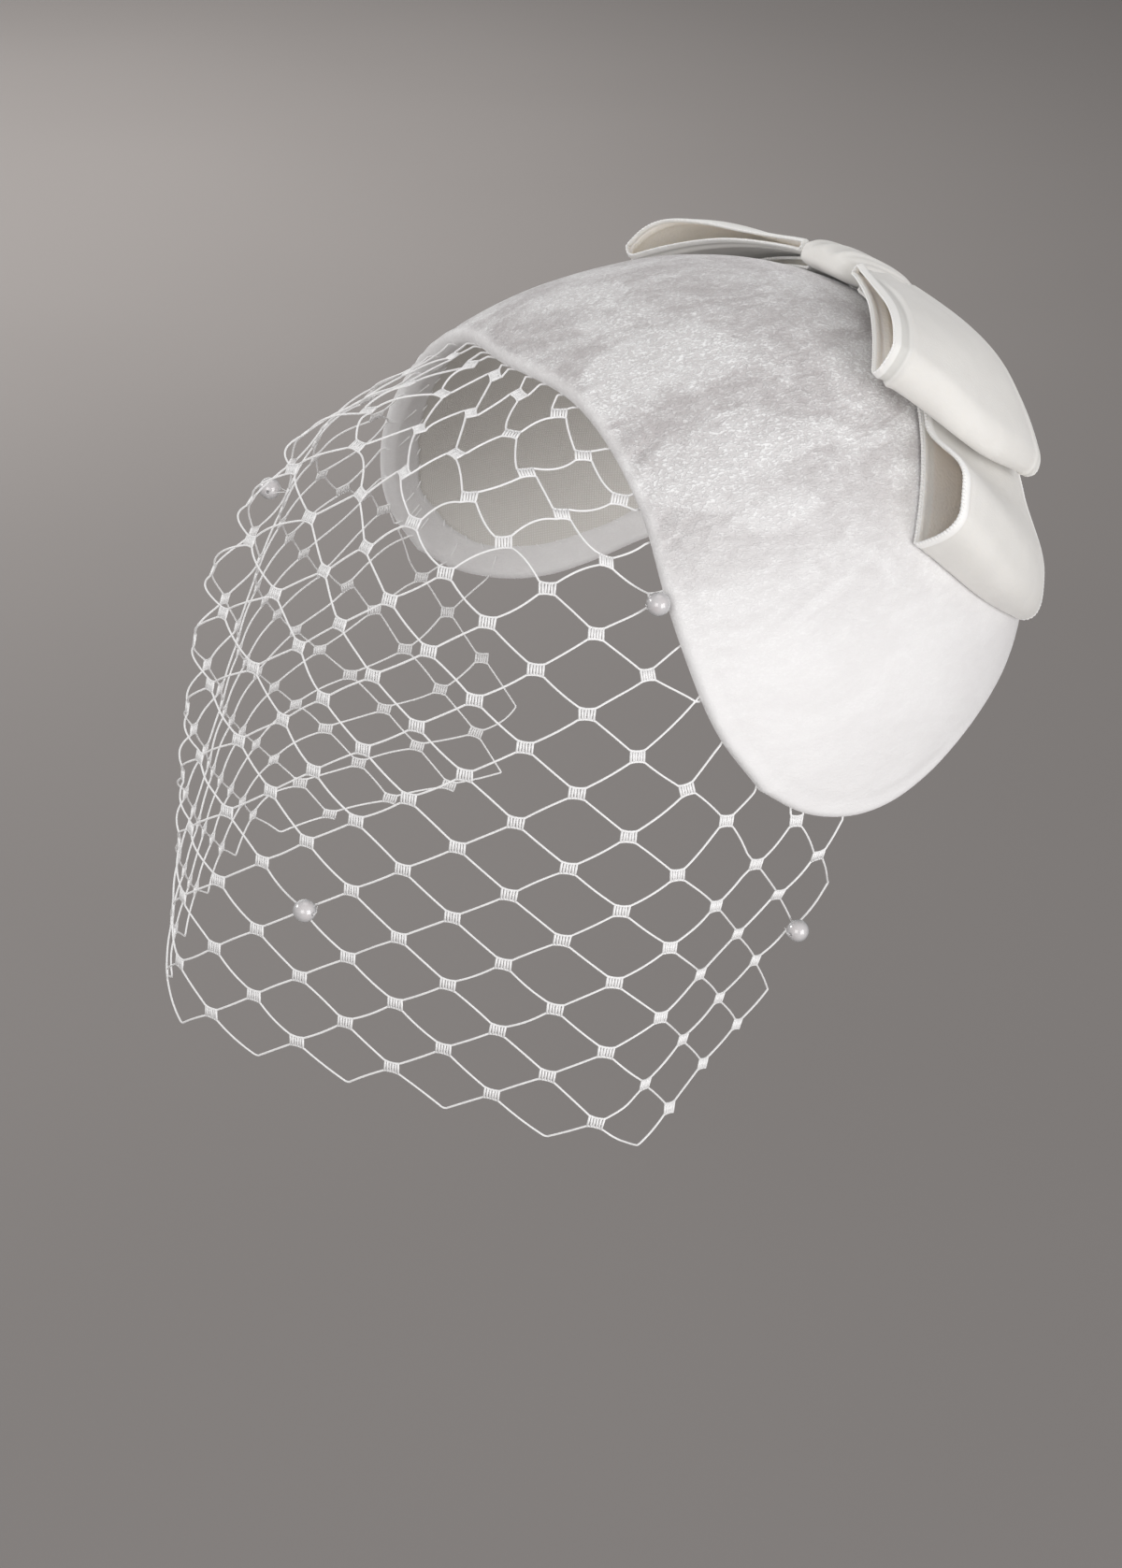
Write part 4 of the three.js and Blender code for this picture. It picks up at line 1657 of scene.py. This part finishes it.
    def _to_seam(self, knot: Crossing, beyond: Crossing, edge: int, side: int) -> Points:
        """The thread from a knot up to the seam, ending under the hat's edge.

        Args:
            knot: the knot.
            beyond: the crossing beyond the seam that it heads for.
            edge: 1 for the knot's bottom, -1 for its top.
            side: 1 for its end towards the left ear, -1 for the other.

        Returns:
            The thread's points.
        """
        start, start_point = self._corner(knot, edge, side)
        target = np.array([self.reach(beyond.column, beyond.row), float(beyond.row)])
        t = np.linspace(0, 2.2, 56)
        net = start + t[:, None] * (target - start)
        top = self.seam.read("row", np.abs(net[:, 0]))
        below = net[:, 1] > top + 0.04
        last = len(t) - 1 if below.all() else int(np.argmin(below))
        picks = np.unique(np.linspace(1, max(last, 1), 5).astype(int))
        points = self.point(net[picks, 0], net[picks, 1])
        part = np.clip(t[picks, None] / max(t[last], 0.04), 0, 1)
        points = points + (1 - part) * (start_point - self.point(start[0], start[1]))
        reach = net[last, 0]
        across, along = self.edge_place(self.seam.read("across", np.array([abs(reach)])))
        tuck = []
        for depth, lift in ((0.012, 0.9), (0.05, 0.05), (0.1, 0.0)):
            place = HEAD.point(*self.base.inward(across, along, np.array(depth)), lift)[0]
            place[0] *= 1 if reach >= 0 else -1
            tuck.append(place)
        return np.concatenate([points, tuck])

    def runs(self) -> list:
        """Lists the net's threads, each as a line of points.

        Returns:
            The threads, joined at the side tips, with their corners rounded.
        """
        found: list = []
        loose: dict = {}
        for strand in range(self.first_row - 1, self.last_row + 2):
            for run, tips in self._strand(strand):
                waiting = [tip for tip in tips if tip is not None]
                partner = next((tip for tip in waiting if tip in loose), None)
                if partner is not None:
                    other, at_end = loose.pop(partner)
                    first = other if at_end else other[::-1]
                    second = run if tips[0] == partner else run[::-1]
                    run = np.concatenate([first, second[1:]])
                    found = [kept for kept in found if kept is not other]
                    loose = {tip: (run, False) if kept[0] is other else kept for tip, kept in loose.items()}
                    waiting.remove(partner)
                for tip in waiting:
                    loose[tip] = (run, partner is not None or tips[1] == tip)
                found.append(run)
        return [round_off(run) for run in found]

    def _side_tip(self, stop: Crossing) -> Crossing | None:
        """The crossing itself, where it is a tip at the net's side."""
        return stop if stop.kind is Stop.TIP and stop.row <= self.last_row else None

    def _strand(self, strand: int) -> list:
        """The runs of thread between two rows of knots.

        Args:
            strand: number of the lower row.

        Returns:
            Each run's points, with the side tips at its ends.
        """
        stops = []
        for column in self.columns:
            row = strand - 1 if (column + strand - 1) % 2 == 0 else strand
            stops.append(self.crossing(column, row))
        nothing = Crossing(Stop.GONE, 0, 0)
        results = []
        run: list = []
        for before, stop, after in zip([nothing] + stops, stops, stops[1:] + [nothing]):
            if stop.kind in (Stop.SEAM, Stop.GONE):
                continue
            if stop.kind is Stop.TIP and Stop.KNOT not in (before.kind, after.kind):
                continue
            edge = 1 if stop.row == strand - 1 else -1
            if not run:
                start = stop
                if stop.kind is Stop.KNOT and before.kind is Stop.SEAM:
                    run.extend(self._to_seam(stop, before, edge, -1)[::-1])
            run.extend(self._plateau(stop, edge))
            ends_here = after.kind is Stop.GONE or (stop.kind is Stop.TIP and after.kind is not Stop.KNOT)
            if after.kind is Stop.SEAM and stop.kind is Stop.KNOT:
                run.extend(self._to_seam(stop, after, edge, 1))
                ends_here = True
            elif not ends_here:
                run.extend(self._side(stop, after, edge))
            if ends_here:
                results.append((np.array(run), (self._side_tip(start), self._side_tip(stop))))
                run = []
        return results

    def build_threads(self, material: Material) -> Piece:
        """Makes the net's threads.

        Args:
            material: material of the thread.

        Returns:
            The threads, in one piece.
        """
        piece = line_piece("veil_net_threads", self.runs())
        grow(piece, GrowThread(self.thread), material)
        return piece

    def build_knots(self, material: Material) -> Piece:
        """Makes the short threads woven across each knot.

        Args:
            material: material of the thread.

        Returns:
            The knots, in one piece.
        """
        points, axes, lengths = [], [], []
        for row in range(self.first_row, self.last_row + 1):
            for column in self.columns:
                if (column + row) % 2 or not self._is_knot(column, row):
                    continue
                reach = self.reach(column, row)
                across, down, outward = self.frame(reach, row)
                centre = self.point(reach, row)
                for k in range(self.bars):
                    u = 2 * k / (self.bars - 1) - 1
                    lean = 0.12 * noise.noise(Vector((reach * 3.1, row * 2.7, k * 1.9)))
                    sideways = across * u * (self.knot_half - 0.15)
                    points.append(centre + sideways + outward * 0.05 * (k % 2))
                    axes.append(down + lean * across)
                    lengths.append(2 * self.knot_height - 0.34 * (1 - u * u))
        piece = point_piece("veil_net_knots", np.array(points), np.array(axes), np.array(lengths))
        grow(piece, GrowRow(Repeat.BAR, self.bar_thread), material)
        return piece


# ------------------------------ pearls


@dataclass(frozen=True)
class Pearls:
    """Four pearls, each drilled through and tied to a knot of the veil.

    Attributes:
        names: the pearls' nodes in the model.
        hole: radius of the drilled hole.
        tie: radius of the thread that ties it.
        steps_round: mesh steps round the hole's axis.
        steps_down: mesh steps from hole to hole.
        veil: the net they are tied to, which is not used.
    """

    veil: Veil
    names: tuple[str, ...] = ("pearl_brow", "pearl_cheek", "pearl_ear", "pearl_temple")
    hole: float = 0.42
    tie: float = 0.1
    steps_round: int = 48
    steps_down: int = 34

    def centre(self, name: str) -> tuple[Points, float]:
        """Middle and radius of a pearl's node, in millimetres."""
        low, high = (np.array(corner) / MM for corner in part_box(name))
        return (low + high) / 2, float((high - low).max() / 2)

    def axis(self, middle: Points) -> tuple[Points, Points]:
        """Direction of a pearl's hole, level in the net, and the way out of the net."""
        outward = unit(np.array([middle[0], middle[1] + 30, 12.0]))
        return unit(np.cross(np.array([0.0, 0.0, 1.0]), outward)), outward

    def build(self, name: str, material: Material) -> Piece:
        """Makes a pearl.

        Args:
            name: its node.
            material: its material.

        Returns:
            The pearl.
        """
        middle, radius = self.centre(name)
        axis, outward = self.axis(middle)
        third = np.cross(axis, outward)
        start = math.asin(self.hole / radius)
        angle = np.linspace(start, math.pi - start, self.steps_down)
        lip = radius * math.cos(start)
        profile = [(0.0, lip - 0.9), (self.hole * 0.7, lip - 0.8), (self.hole * 0.95, lip - 0.12)]
        profile += [(radius * math.sin(a), radius * math.cos(a)) for a in angle]
        profile += [(r, -h) for r, h in reversed(profile[:3])]
        turn = np.linspace(0, 2 * math.pi, self.steps_round, endpoint=False)
        rings = [
            middle + axis * h + r * (np.cos(turn)[:, None] * outward + np.sin(turn)[:, None] * third)
            for r, h in profile
        ]
        faces = grid_faces((len(profile), self.steps_round), (False, True))
        piece = make_mesh(name + "_bead", np.concatenate(rings), faces)
        weld(piece, 0.001)
        face_out(piece)
        piece.data.materials.append(material)
        return piece

    def build_ties(self, material: Material) -> Piece:
        """Makes the thread that runs through each pearl and back to its knot.

        Args:
            material: material of the thread.

        Returns:
            The ties, in one piece.
        """
        runs = []
        for name in self.names:
            middle, radius = self.centre(name)
            axis, outward = self.axis(middle)
            back = middle - outward * (radius + 1.1)
            lip = radius + 0.04
            path = [back + axis * 0.4]
            for side in (1, -1):
                curve = [(0.52, -0.88), (0.84, -0.58), (0.99, -0.24), (0.985, -0.03), (0.6, 0.0)]
                bend = [middle + axis * side * lip * a + outward * lip * o for a, o in curve]
                path += bend if side == 1 else bend[::-1]
            path.append(back - axis * 0.4)
            runs.append(round_off(np.array(path), 2))
        piece = line_piece("pearl_ties", runs)
        grow(piece, GrowThread(self.tie), material)
        return piece


# ------------------------------ bow


class Ear(Enum):
    """The side of the bow that a loop is on; the value turns a left loop into a right one."""

    LEFT = 1
    RIGHT = -1


@dataclass(frozen=True)
class Tier:
    """One tier of the bow: its pair of loops.

    Attributes:
        name: which tier it is.
        lift: distance of the bottom layer outside the head.
        rise: how much further out the fold lies.
        mouth: height of the mouth at the front and at the back.
        opens: where the mouth starts to open at the front and at the back, from 0 at the knot to
            1 at the fold.
        opens_over: part of the length over which it opens.
        right_delay: how much later the mouth opens on the wearer's right.
        fold_depth: length of the round of the fold.
        right_fold_depth: the same on the wearer's right.
        heel: rise of the inner wall into the round of the fold.
        squareness: shape of that round, 2 for an ellipse and more for a squarer one.
        length: length of a loop from knot to fold.
        knot_half: half the gathered width at the knot, in degrees.
        fold: places on the head of the fold's front corner, middle and back corner.
        ridge: height of the raised line inside the selvedge.
        curl: how far the edge is turned in at the mouth.
        nub: half the thickness of the nubs along the edge.
        pile: finish of the velvet face.
        back: finish of the back.
        width: width of the ribbon.
    """

    name: str
    lift: float
    rise: float
    mouth: tuple[float, float]
    opens: tuple[float, float]
    opens_over: float
    right_delay: float
    fold_depth: float
    right_fold_depth: float
    heel: float
    squareness: float
    length: float
    knot_half: float
    fold: Table
    ridge: float
    curl: float
    nub: float
    pile: RibbonVelvet
    back: RibbonBack
    width: float = 46.0

    @property
    def cut_length(self) -> float:
        """Length the ribbon is cut to: out and back, and a fortieth more for its folds."""
        return 2.05 * self.length


# The model's wall and pinched thickness, the thinner ribbon drawn here, and the bottom layers' lifts.
RIBBON_WALL = 1.2
RIBBON_THICKNESS = 0.8
PINCH = 1.5
LOWER_LIFT = OUTER_LIFT + 1.5 * SEAM_GAP + RIBBON_WALL / 2
UPPER_LIFT = LOWER_LIFT + PINCH + RIBBON_WALL + 2 * SEAM_GAP
LOWER_TIER = Tier(
    name="lower",
    lift=LOWER_LIFT,
    rise=0.0,
    mouth=(12.0, 5.0),
    opens=(0.6, 0.64),
    opens_over=0.24,
    right_delay=0.0,
    fold_depth=7.5,
    right_fold_depth=7.5,
    heel=0.6,
    squareness=2.6,
    length=88.0,
    knot_half=3.4,
    fold=Table(("across", "along"), ((59, 20.5), (70, 34), (79.5, 50))),
    ridge=0.05,
    curl=0.0,
    nub=0.45,
    pile=RibbonVelvet(),
    back=RibbonBack(),
)
UPPER_TIER = Tier(
    name="upper",
    lift=UPPER_LIFT,
    rise=1.9,
    mouth=(8.6, 4.4),
    opens=(0.08, -0.2),
    opens_over=0.76,
    right_delay=0.05,
    fold_depth=5.2,
    right_fold_depth=16.0,
    heel=2.6,
    squareness=2.1,
    length=58.0,
    knot_half=6.0,
    fold=Table(("across", "along"), ((34.5, 18.5), (46.8, 33), (50.6, 46.6))),
    ridge=0.36,
    curl=0.8,
    nub=0.28,
    # Its grey groove colour is painted shade in the groove of the turned edge.
    pile=RibbonVelvet(
        "ribbon_velvet_grooved_edge", selvedge="#f6f5f2", groove="#d9d8d4", selvedge_width=2.8
    ),
    back=RibbonBack("ribbon_back_narrow_edge", band=0.8),
)


@dataclass(frozen=True)
class Bow:
    """The bow: two tiers of velvet-ribbon loops held by a wrapped knot.

    Attributes:
        knot_across: half the knot's width, in degrees.
        knot_along: where the knot lies, in degrees.
        knot_along_half: half its length, in degrees.
        knot_lift: distance of its middle outside the head.
        knot_height: half its thickness.
        knot_bluntness: how square the knot is; 1 is round.
        crease: depth of the knot's main and its finer creases.
        turns: mesh steps round the knot.
        steps: mesh steps from one side of the knot to the other.
        start: where the loops come out of the knot, in degrees.
        gathered_width: width of the ribbon there.
        around: mesh steps round a loop.
        across: mesh steps across the ribbon, between its edges.
        pleat: depth of the gathers at the knot.
        nub_pitch: distance between the nubs along a selvedge.
    """

    knot_across: float = 8.0
    knot_along: float = 38.5
    knot_along_half: float = 8.0
    knot_lift: float = 8.9
    knot_height: float = 3.8
    knot_bluntness: float = 0.62
    crease: tuple[float, float] = (0.42, 0.2)
    turns: int = 112
    steps: int = 72
    start: float = 7.2
    gathered_width: float = 15.0
    around: int = 132
    across: int = 30
    pleat: float = 1.0
    nub_pitch: float = 0.85

    @property
    def angles(self) -> Points:
        """The mesh steps round a loop, as angles: 0 at the knot and half a turn at the fold."""
        return 2 * math.pi * (np.arange(self.around) + 0.5) / self.around

    def _section(self, tier: Tier, ear: Ear, t: Points) -> tuple[Points, Points, Points]:
        """The loop's section for each step round it.

        Args:
            tier: the tier.
            ear: the side of the bow.
            t: fractions of the ribbon's width.

        Returns:
            Distance from the knot, height, and which layer: 1 for the top, -1 for the bottom.
        """
        angle = self.angles[:, None]
        layer = np.where(angle < math.pi, 1.0, -1.0)
        t = np.clip(t, 0, 1)
        gap = np.interp(t, (0, 1), tier.mouth) - PINCH
        opens = np.interp(t, (0, 1), tier.opens) + (tier.right_delay if ear is Ear.RIGHT else 0.0)
        x = tier.length * (1 - np.cos(angle)) / 2
        bend = PINCH / 2
        left = np.minimum(x, tier.length - x)
        rounded = np.sqrt(np.clip(1 - np.clip(1 - left / bend, 0, 1) ** 2, 0, 1))
        opened = smooth_step(opens, opens + tier.opens_over, x / tier.length)
        depth = tier.fold_depth if ear is Ear.LEFT else tier.right_fold_depth
        turn = np.clip((x - (tier.length - depth)) / depth, 0, 1)
        heel = np.clip(0.36 * gap * opened, 0, tier.heel)
        lifted = heel * (1 - np.sqrt(1 - np.clip(1 - (tier.length - x) / (bend + heel), 0, 1) ** 2))
        roof = (1 - turn**tier.squareness) ** (1 / tier.squareness)
        y = bend + layer * bend * rounded + lifted
        y = y + np.where(layer > 0, (gap * opened - lifted) * roof, 0)
        return np.broadcast_to(x, y.shape), y, np.broadcast_to(layer, y.shape)

    def _stations(self, tier: Tier, width: Points) -> tuple[Points, Points, Points]:
        """Stations round the ribbon's own edge-to-edge ring, for each step round the loop.

        Args:
            tier: the tier.
            width: width of the ribbon at each step.

        Returns:
            Fraction of the width, offset from the ribbon's middle, and distance from the edge.
        """
        inset = np.array([0.0, 0.25, 0.5, 0.8, 1.1, 1.5, 1.9, 2.3, 2.7, 3.1, 3.6, 4.3])
        thick = RIBBON_THICKNESS / 2
        bead, groove, ridge = ((0.45, 0.4, 0.12), (1.6, 0.55, -1.1 * tier.ridge), (2.7, 0.5, tier.ridge))
        profile = np.full(len(inset), thick)
        for place, half, height in (bead, groove, ridge):
            profile += height * np.exp(-(((inset - place) / half) ** 2))
        width = width[:, None]
        squeeze = np.minimum(1.0, 0.42 * width / inset[-1])
        middle = np.linspace(0, 1, self.across + 2)[1:-1]
        side = inset * squeeze / width
        span = 1 - 2 * side[:, -1:]
        upper_t = np.concatenate([side, side[:, -1:] + middle * span, 1 - side[:, ::-1]], axis=1)
        from_edge = np.minimum(upper_t, 1 - upper_t) * width / squeeze
        upper_h = np.concatenate([profile, np.full(len(middle), thick), profile[::-1]])
        angle = np.linspace(0, math.pi, 7)[1:-1]
        bulge = profile[0] * np.sin(angle) / width
        rim_h = profile[0] * np.cos(angle)
        t = np.concatenate([upper_t, 1 + bulge, upper_t[:, ::-1], -bulge], axis=1)
        h = np.concatenate([upper_h, rim_h, -upper_h[::-1], -rim_h])
        edge = np.concatenate([from_edge, 0 * bulge, from_edge[:, ::-1], 0 * bulge], axis=1)
        return t, np.broadcast_to(h, t.shape), edge

    def _ring(self, tier: Tier, ear: Ear) -> tuple[Points, Points, Points, Points]:
        """Section places and offsets over the whole ribbon.

        Args:
            tier: the tier.
            ear: the side of the bow.

        Returns:
            Distance from the knot, height, fraction of the width, and distance from the edge.
        """
        fraction = (1 - np.cos(self.angles)) / 2
        width = self.gathered_width + (tier.width - self.gathered_width) * fraction
        t, offset, edge = self._stations(tier, width)
        x, y, layer = self._section(tier, ear, t)
        top = layer > 0
        at_mouth = np.where(t < 0.5, 1.0, 0.0) * smooth_step(0.15, 0.5, x / tier.length)
        curled = np.where(top, 1.0, 0.6) * np.clip(1 - edge / 3.4, 0, 1) ** 2
        offset = offset - tier.curl * curled * at_mouth
        dx = np.roll(x, -1, axis=0) - np.roll(x, 1, axis=0)
        dy = np.roll(y, -1, axis=0) - np.roll(y, 1, axis=0)
        length = np.hypot(dx, dy)
        x_out, y_out = x - dy / length * offset, y + dx / length * offset
        gathered = np.where(top, 1.0, 0.12) * np.clip(1 - x / (tier.length * 0.62), 0, 1) ** 2
        folds = np.sin(2 * math.pi * (2.6 * t + 0.15) + 0.6 * layer) + 0.35 * np.sin(2 * math.pi * 5.1 * t)
        y_out = y_out + self.pleat * gathered * (folds * 0.5 + np.where(top, 0.35, 0))
        return x_out, y_out, t, edge

    def loop_points(self, tier: Tier, ear: Ear) -> tuple[Points, Points]:
        """Points of a loop.

        Args:
            tier: the loop's tier.
            ear: the side that it is on.

        Returns:
            The points by step round the loop and station round the ribbon, and their distance
            from the ribbon's edge.
        """
        x, y, t, edge = self._ring(tier, ear)
        fraction = x / tier.length
        start = HEAD.direction(self.start, self.knot_along + (2 * t - 1) * tier.knot_half)
        fold = HEAD.direction(tier.fold.along("across", t), tier.fold.along("along", t))
        direction = start + fraction[..., None] * (fold - start)
        direction[..., 0] *= ear.value
        lift = tier.lift - (RIBBON_WALL - RIBBON_THICKNESS) / 2 - 0.12 + tier.rise * fraction
        flat = HEAD.lifted(direction, lift)
        drape = 0.3 * wander(flat, 26, 2.0 + ear.value) + 0.1 * wander(flat, 12, 6.0 - ear.value)
        loose = smooth_step(0.1, 0.5, fraction) * smooth_step(0.0, 3.0, y)
        return HEAD.lifted(direction, lift + y + drape * loose), edge

    def build_loop(
        self, tier: Tier, ear: Ear, pile: Material, back: Material
    ) -> Piece:
        """Makes a loop and dresses it.

        Args:
            tier: the loop's tier.
            ear: the side that it is on.
            pile: material of the velvet face.
            back: material of the ribbon's back.

        Returns:
            The loop.
        """
        points, edge = self.loop_points(tier, ear)
        rows, stations = edge.shape
        faces = np.roll(grid_faces((rows, stations), (True, True)), -1, axis=1)
        if ear is Ear.RIGHT:
            faces = faces[:, ::-1]
        piece = make_mesh(f"bow_{tier.name}_{ear.name.lower()}_ribbon", points.reshape(-1, 3), faces)
        piece.data.materials.append(pile)
        piece.data.materials.append(back)
        station = np.arange(stations)
        inside = (station >= stations // 2 - 1) & (station < stations - 6)
        piece.data.polygons.foreach_set("material_index", np.tile(inside, rows).astype(int))
        set_attribute(piece, "edge_mm", edge.reshape(-1))
        return piece

    def build_selvedge(self, tier: Tier, ear: Ear, material: Material) -> Piece:
        """Makes the row of woven nubs along both edges of a loop.

        Args:
            tier: the loop's tier.
            ear: the side that it is on.
            material: material of the nubs.

        Returns:
            The nubs, in one piece.
        """
        points, _ = self.loop_points(tier, ear)
        stations = points.shape[1]
        lines = [points[:, station] for station in (stations // 2 - 3, stations - 3)]
        rows = [pace(np.concatenate([line, line[:1]]), self.nub_pitch, 0.4) for line in lines]
        places, axes = (np.concatenate(parts) for parts in zip(*rows))
        lengths = np.full(len(places), self.nub_pitch * 1.25)
        piece = point_piece(f"bow_{tier.name}_{ear.name.lower()}_selvedge", places, axes, lengths)
        grow(piece, GrowRow(Repeat.NUB, tier.nub), material)
        return piece

    def build_knot(self, material: Material) -> Piece:
        """Makes the knot: a band of ribbon wrapped over the pinched ends, with soft creases.

        Args:
            material: material of the velvet.

        Returns:
            The knot.
        """
        theta = np.linspace(0, math.pi, self.steps + 1)[:, None]
        phi = np.linspace(0, 2 * math.pi, self.turns, endpoint=False)[None]
        sides = [np.cos(theta) + 0 * phi, np.sin(theta) * np.cos(phi), np.sin(theta) * np.sin(phi)]
        u, v, w = (np.sign(s) * np.abs(s) ** self.knot_bluntness for s in sides)
        main, fine = self.crease
        crease = main * np.cos(2 * math.pi * 1.9 * u + 0.5) + fine * np.cos(2 * math.pi * 4.3 * u + 1.2 + v)
        crease = crease * smooth_step(0.98, 0.6, np.abs(u)) * smooth_step(-0.2, 0.5, w)
        waist = 1 - 0.07 * (1 - np.abs(u))
        points = HEAD.point(
            self.knot_across * u * (1 + 0.05 * v),
            self.knot_along + self.knot_along_half * v * waist,
            self.knot_lift + self.knot_height * w + crease,
        )
        faces = grid_faces((self.steps + 1, self.turns), (False, True))[:, [0, 3, 2, 1]]
        piece = make_mesh("bow_knot_wrap", points.reshape(-1, 3), faces)
        set_attribute(piece, "edge_mm", (10.5 * (1 - np.abs(u)) + 1.3).reshape(-1))
        weld(piece, 0.002)
        face_out(piece)
        piece.data.materials.append(material)
        return piece


# ------------------------------ studio


@dataclass(frozen=True)
class SoftLight:
    """A square soft light. Places are in metres.

    Attributes:
        name: its name.
        place: where it is.
        size: the side of its square.
        power: its power in watts.
        color: its colour.
        aim: where it points; the hat's middle unless given.
    """

    name: str
    place: tuple[float, float, float]
    size: float
    power: float
    color: str = "#fffefe"
    aim: tuple[float, float, float] = (0.0, -0.03, -0.06)

    def build(self) -> None:
        """Makes the light."""
        data = bpy.data.lights.new(self.name, "AREA")
        data.shape = "SQUARE"
        data.size = self.size
        data.energy = self.power
        data.color = hex_linear(self.color)[:3]
        light = add_object(self.name, data)
        light.location = self.place
        ray = Vector(self.aim) - Vector(self.place)
        light.rotation_euler = ray.to_track_quat("-Z", "Y").to_euler()


@dataclass(frozen=True)
class Studio:
    """A pale floor, soft light, and the camera.

    Attributes:
        camera_place: the camera's place, in metres.
        azimuth: the side it looks from, in degrees round from the wearer's front to the left ear.
        pitch: how far it looks down, in degrees.
        lens: focal length, on a sensor 36 mm high.
        floor_level: height of the floor, in metres.
        floor_half: half the floor's side, in metres.
        floor_colors: the two tones of the floor's soft mottle.
        air: colour of the light from all round.
        air_strength: how strong it is.
        lights: the lights.
    """

    camera_place: tuple[float, float, float] = (0.53991, -0.35451, 0.20720)
    azimuth: float = 59.26
    pitch: float = 27.43
    lens: float = 66.82
    floor_level: float = -0.55
    floor_half: float = 6.0
    floor_colors: tuple[str, str] = ("#827e7c", "#868280")
    air: str = "#f6f5f5"
    air_strength: float = 0.4
    lights: tuple[SoftLight, ...] = (
        SoftLight("window_light", (1.55, 0.3, 0.05), 1.1, 15.5),
        SoftLight("front_light", (1.05, -1.25, 0.45), 0.9, 8.0, "#fffefd"),
        SoftLight("side_light", (-1.05, -1.05, 0.62), 0.45, 8.0, "#fffefd"),
        SoftLight("top_light", (-0.3, 0.4, 1.6), 1.2, 5.0),
        SoftLight("floor_light", (-2.2, 0.3, 0.4), 1.5, 22.0, "#fffdfb", (-2.2, 0.4, -0.55)),
    )

    def set_camera(self) -> None:
        """Makes the scene's camera."""
        data = bpy.data.cameras.new("camera")
        data.sensor_fit = "VERTICAL"
        data.sensor_height = 36.0
        data.lens = self.lens
        data.clip_start, data.clip_end = 0.01, 50.0
        camera = add_object("camera", data)
        a, p = math.radians(self.azimuth), math.radians(self.pitch)
        back = Vector((math.sin(a) * math.cos(p), -math.cos(a) * math.cos(p), math.sin(p)))
        camera.location = self.camera_place
        camera.rotation_euler = (-back).to_track_quat("-Z", "Y").to_euler()
        bpy.context.scene.camera = camera

    def add_floor(self) -> None:
        """Makes the floor."""
        half, level = self.floor_half / MM, self.floor_level / MM
        corners = [(x * half, y * half, level) for x, y in ((-1, -1), (1, -1), (1, 1), (-1, 1))]
        floor = make_mesh("studio_floor", np.array(corners), [(0, 1, 2, 3)])
        material, tree, shader = Finish("matt_studio_paper", self.floor_colors[0], 0.9, 1.4).start()
        place = add_node(tree, "ShaderNodeTexCoord").outputs["Object"]
        cloud = {"Scale": 3.0, "Detail": 1.0}
        mottle = add_node(tree, "ShaderNodeTexNoise", cloud, {"Vector": place}).outputs["Fac"]
        colors = {**BLEND, 6: hex_linear(self.floor_colors[0]), 7: hex_linear(self.floor_colors[1])}
        tone = add_node(tree, "ShaderNodeMix", colors, {0: mottle})
        tree.links.new(tone.outputs[2], shader.inputs["Base Color"])
        floor.data.materials.append(material)

    def build(self) -> None:
        """Makes the floor, the lights, the surrounding light and the camera."""
        self.add_floor()
        for light in self.lights:
            light.build()
        world = bpy.data.worlds.new("studio_air")
        world.use_nodes = True
        background = world.node_tree.nodes["Background"]
        background.inputs["Color"].default_value = hex_linear(self.air)
        background.inputs["Strength"].default_value = self.air_strength
        bpy.context.scene.world = world
        bpy.context.scene.view_settings.view_transform = "Standard"
        self.set_camera()


# ------------------------------ the hat


def settle(piece: Piece, slot: str, *nodes: str) -> Piece:
    """Lets a piece ride on the hat, and hides the nodes that it stands for.

    Args:
        piece: the piece.
        slot: the record's material slot, which is not used.
        nodes: the nodes that it replaces.

    Returns:
        The piece.
    """
    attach(piece, "root")
    if nodes:
        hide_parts(*nodes)
    faces = len(piece.data.polygons)
    triangles = sum(len(face.vertices) - 2 for face in piece.data.polygons)
    LOG.info("%s: %d faces, %d triangles", piece.name, faces, triangles)
    return piece


def main() -> None:
    """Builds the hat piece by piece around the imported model."""
    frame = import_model()
    LOG.info("frame: %s", ", ".join(sorted(frame["nodes"])))
    Studio().build()

    thread = NylonThread().material()
    lustre = PearlLustre().material()
    tiers = (LOWER_TIER, UPPER_TIER)
    ribbons = {finish: finish.material() for tier in tiers for finish in (tier.pile, tier.back)}

    base = HatBase()
    cover = base.build(CrushedVelvet().material(), VelvetBack().material())
    settle(cover, "velvet", "hat_base")
    settle(base.stitches(thread), "velvet")

    veil = Veil(base)
    settle(veil.build_threads(thread), "net", "veil")
    settle(veil.build_knots(thread), "net")

    pearls = Pearls(veil)
    for name in pearls.names:
        settle(pearls.build(name, lustre), "pearl", name)
    settle(pearls.build_ties(thread), "net")

    bow = Bow()
    plain = ribbons[LOWER_TIER.pile]
    for tier in tiers:
        for ear in Ear:
            side = ear.name.lower()
            ribbon = bow.build_loop(tier, ear, ribbons[tier.pile], ribbons[tier.back])
            loop = settle(ribbon, "ribbon", f"bow_{tier.name}_{side}")
            nubs = settle(bow.build_selvedge(tier, ear, plain), "ribbon")
    knot = settle(bow.build_knot(plain), "ribbon", "bow_knot")

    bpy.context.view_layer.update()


if __name__ == "__main__":
    main()
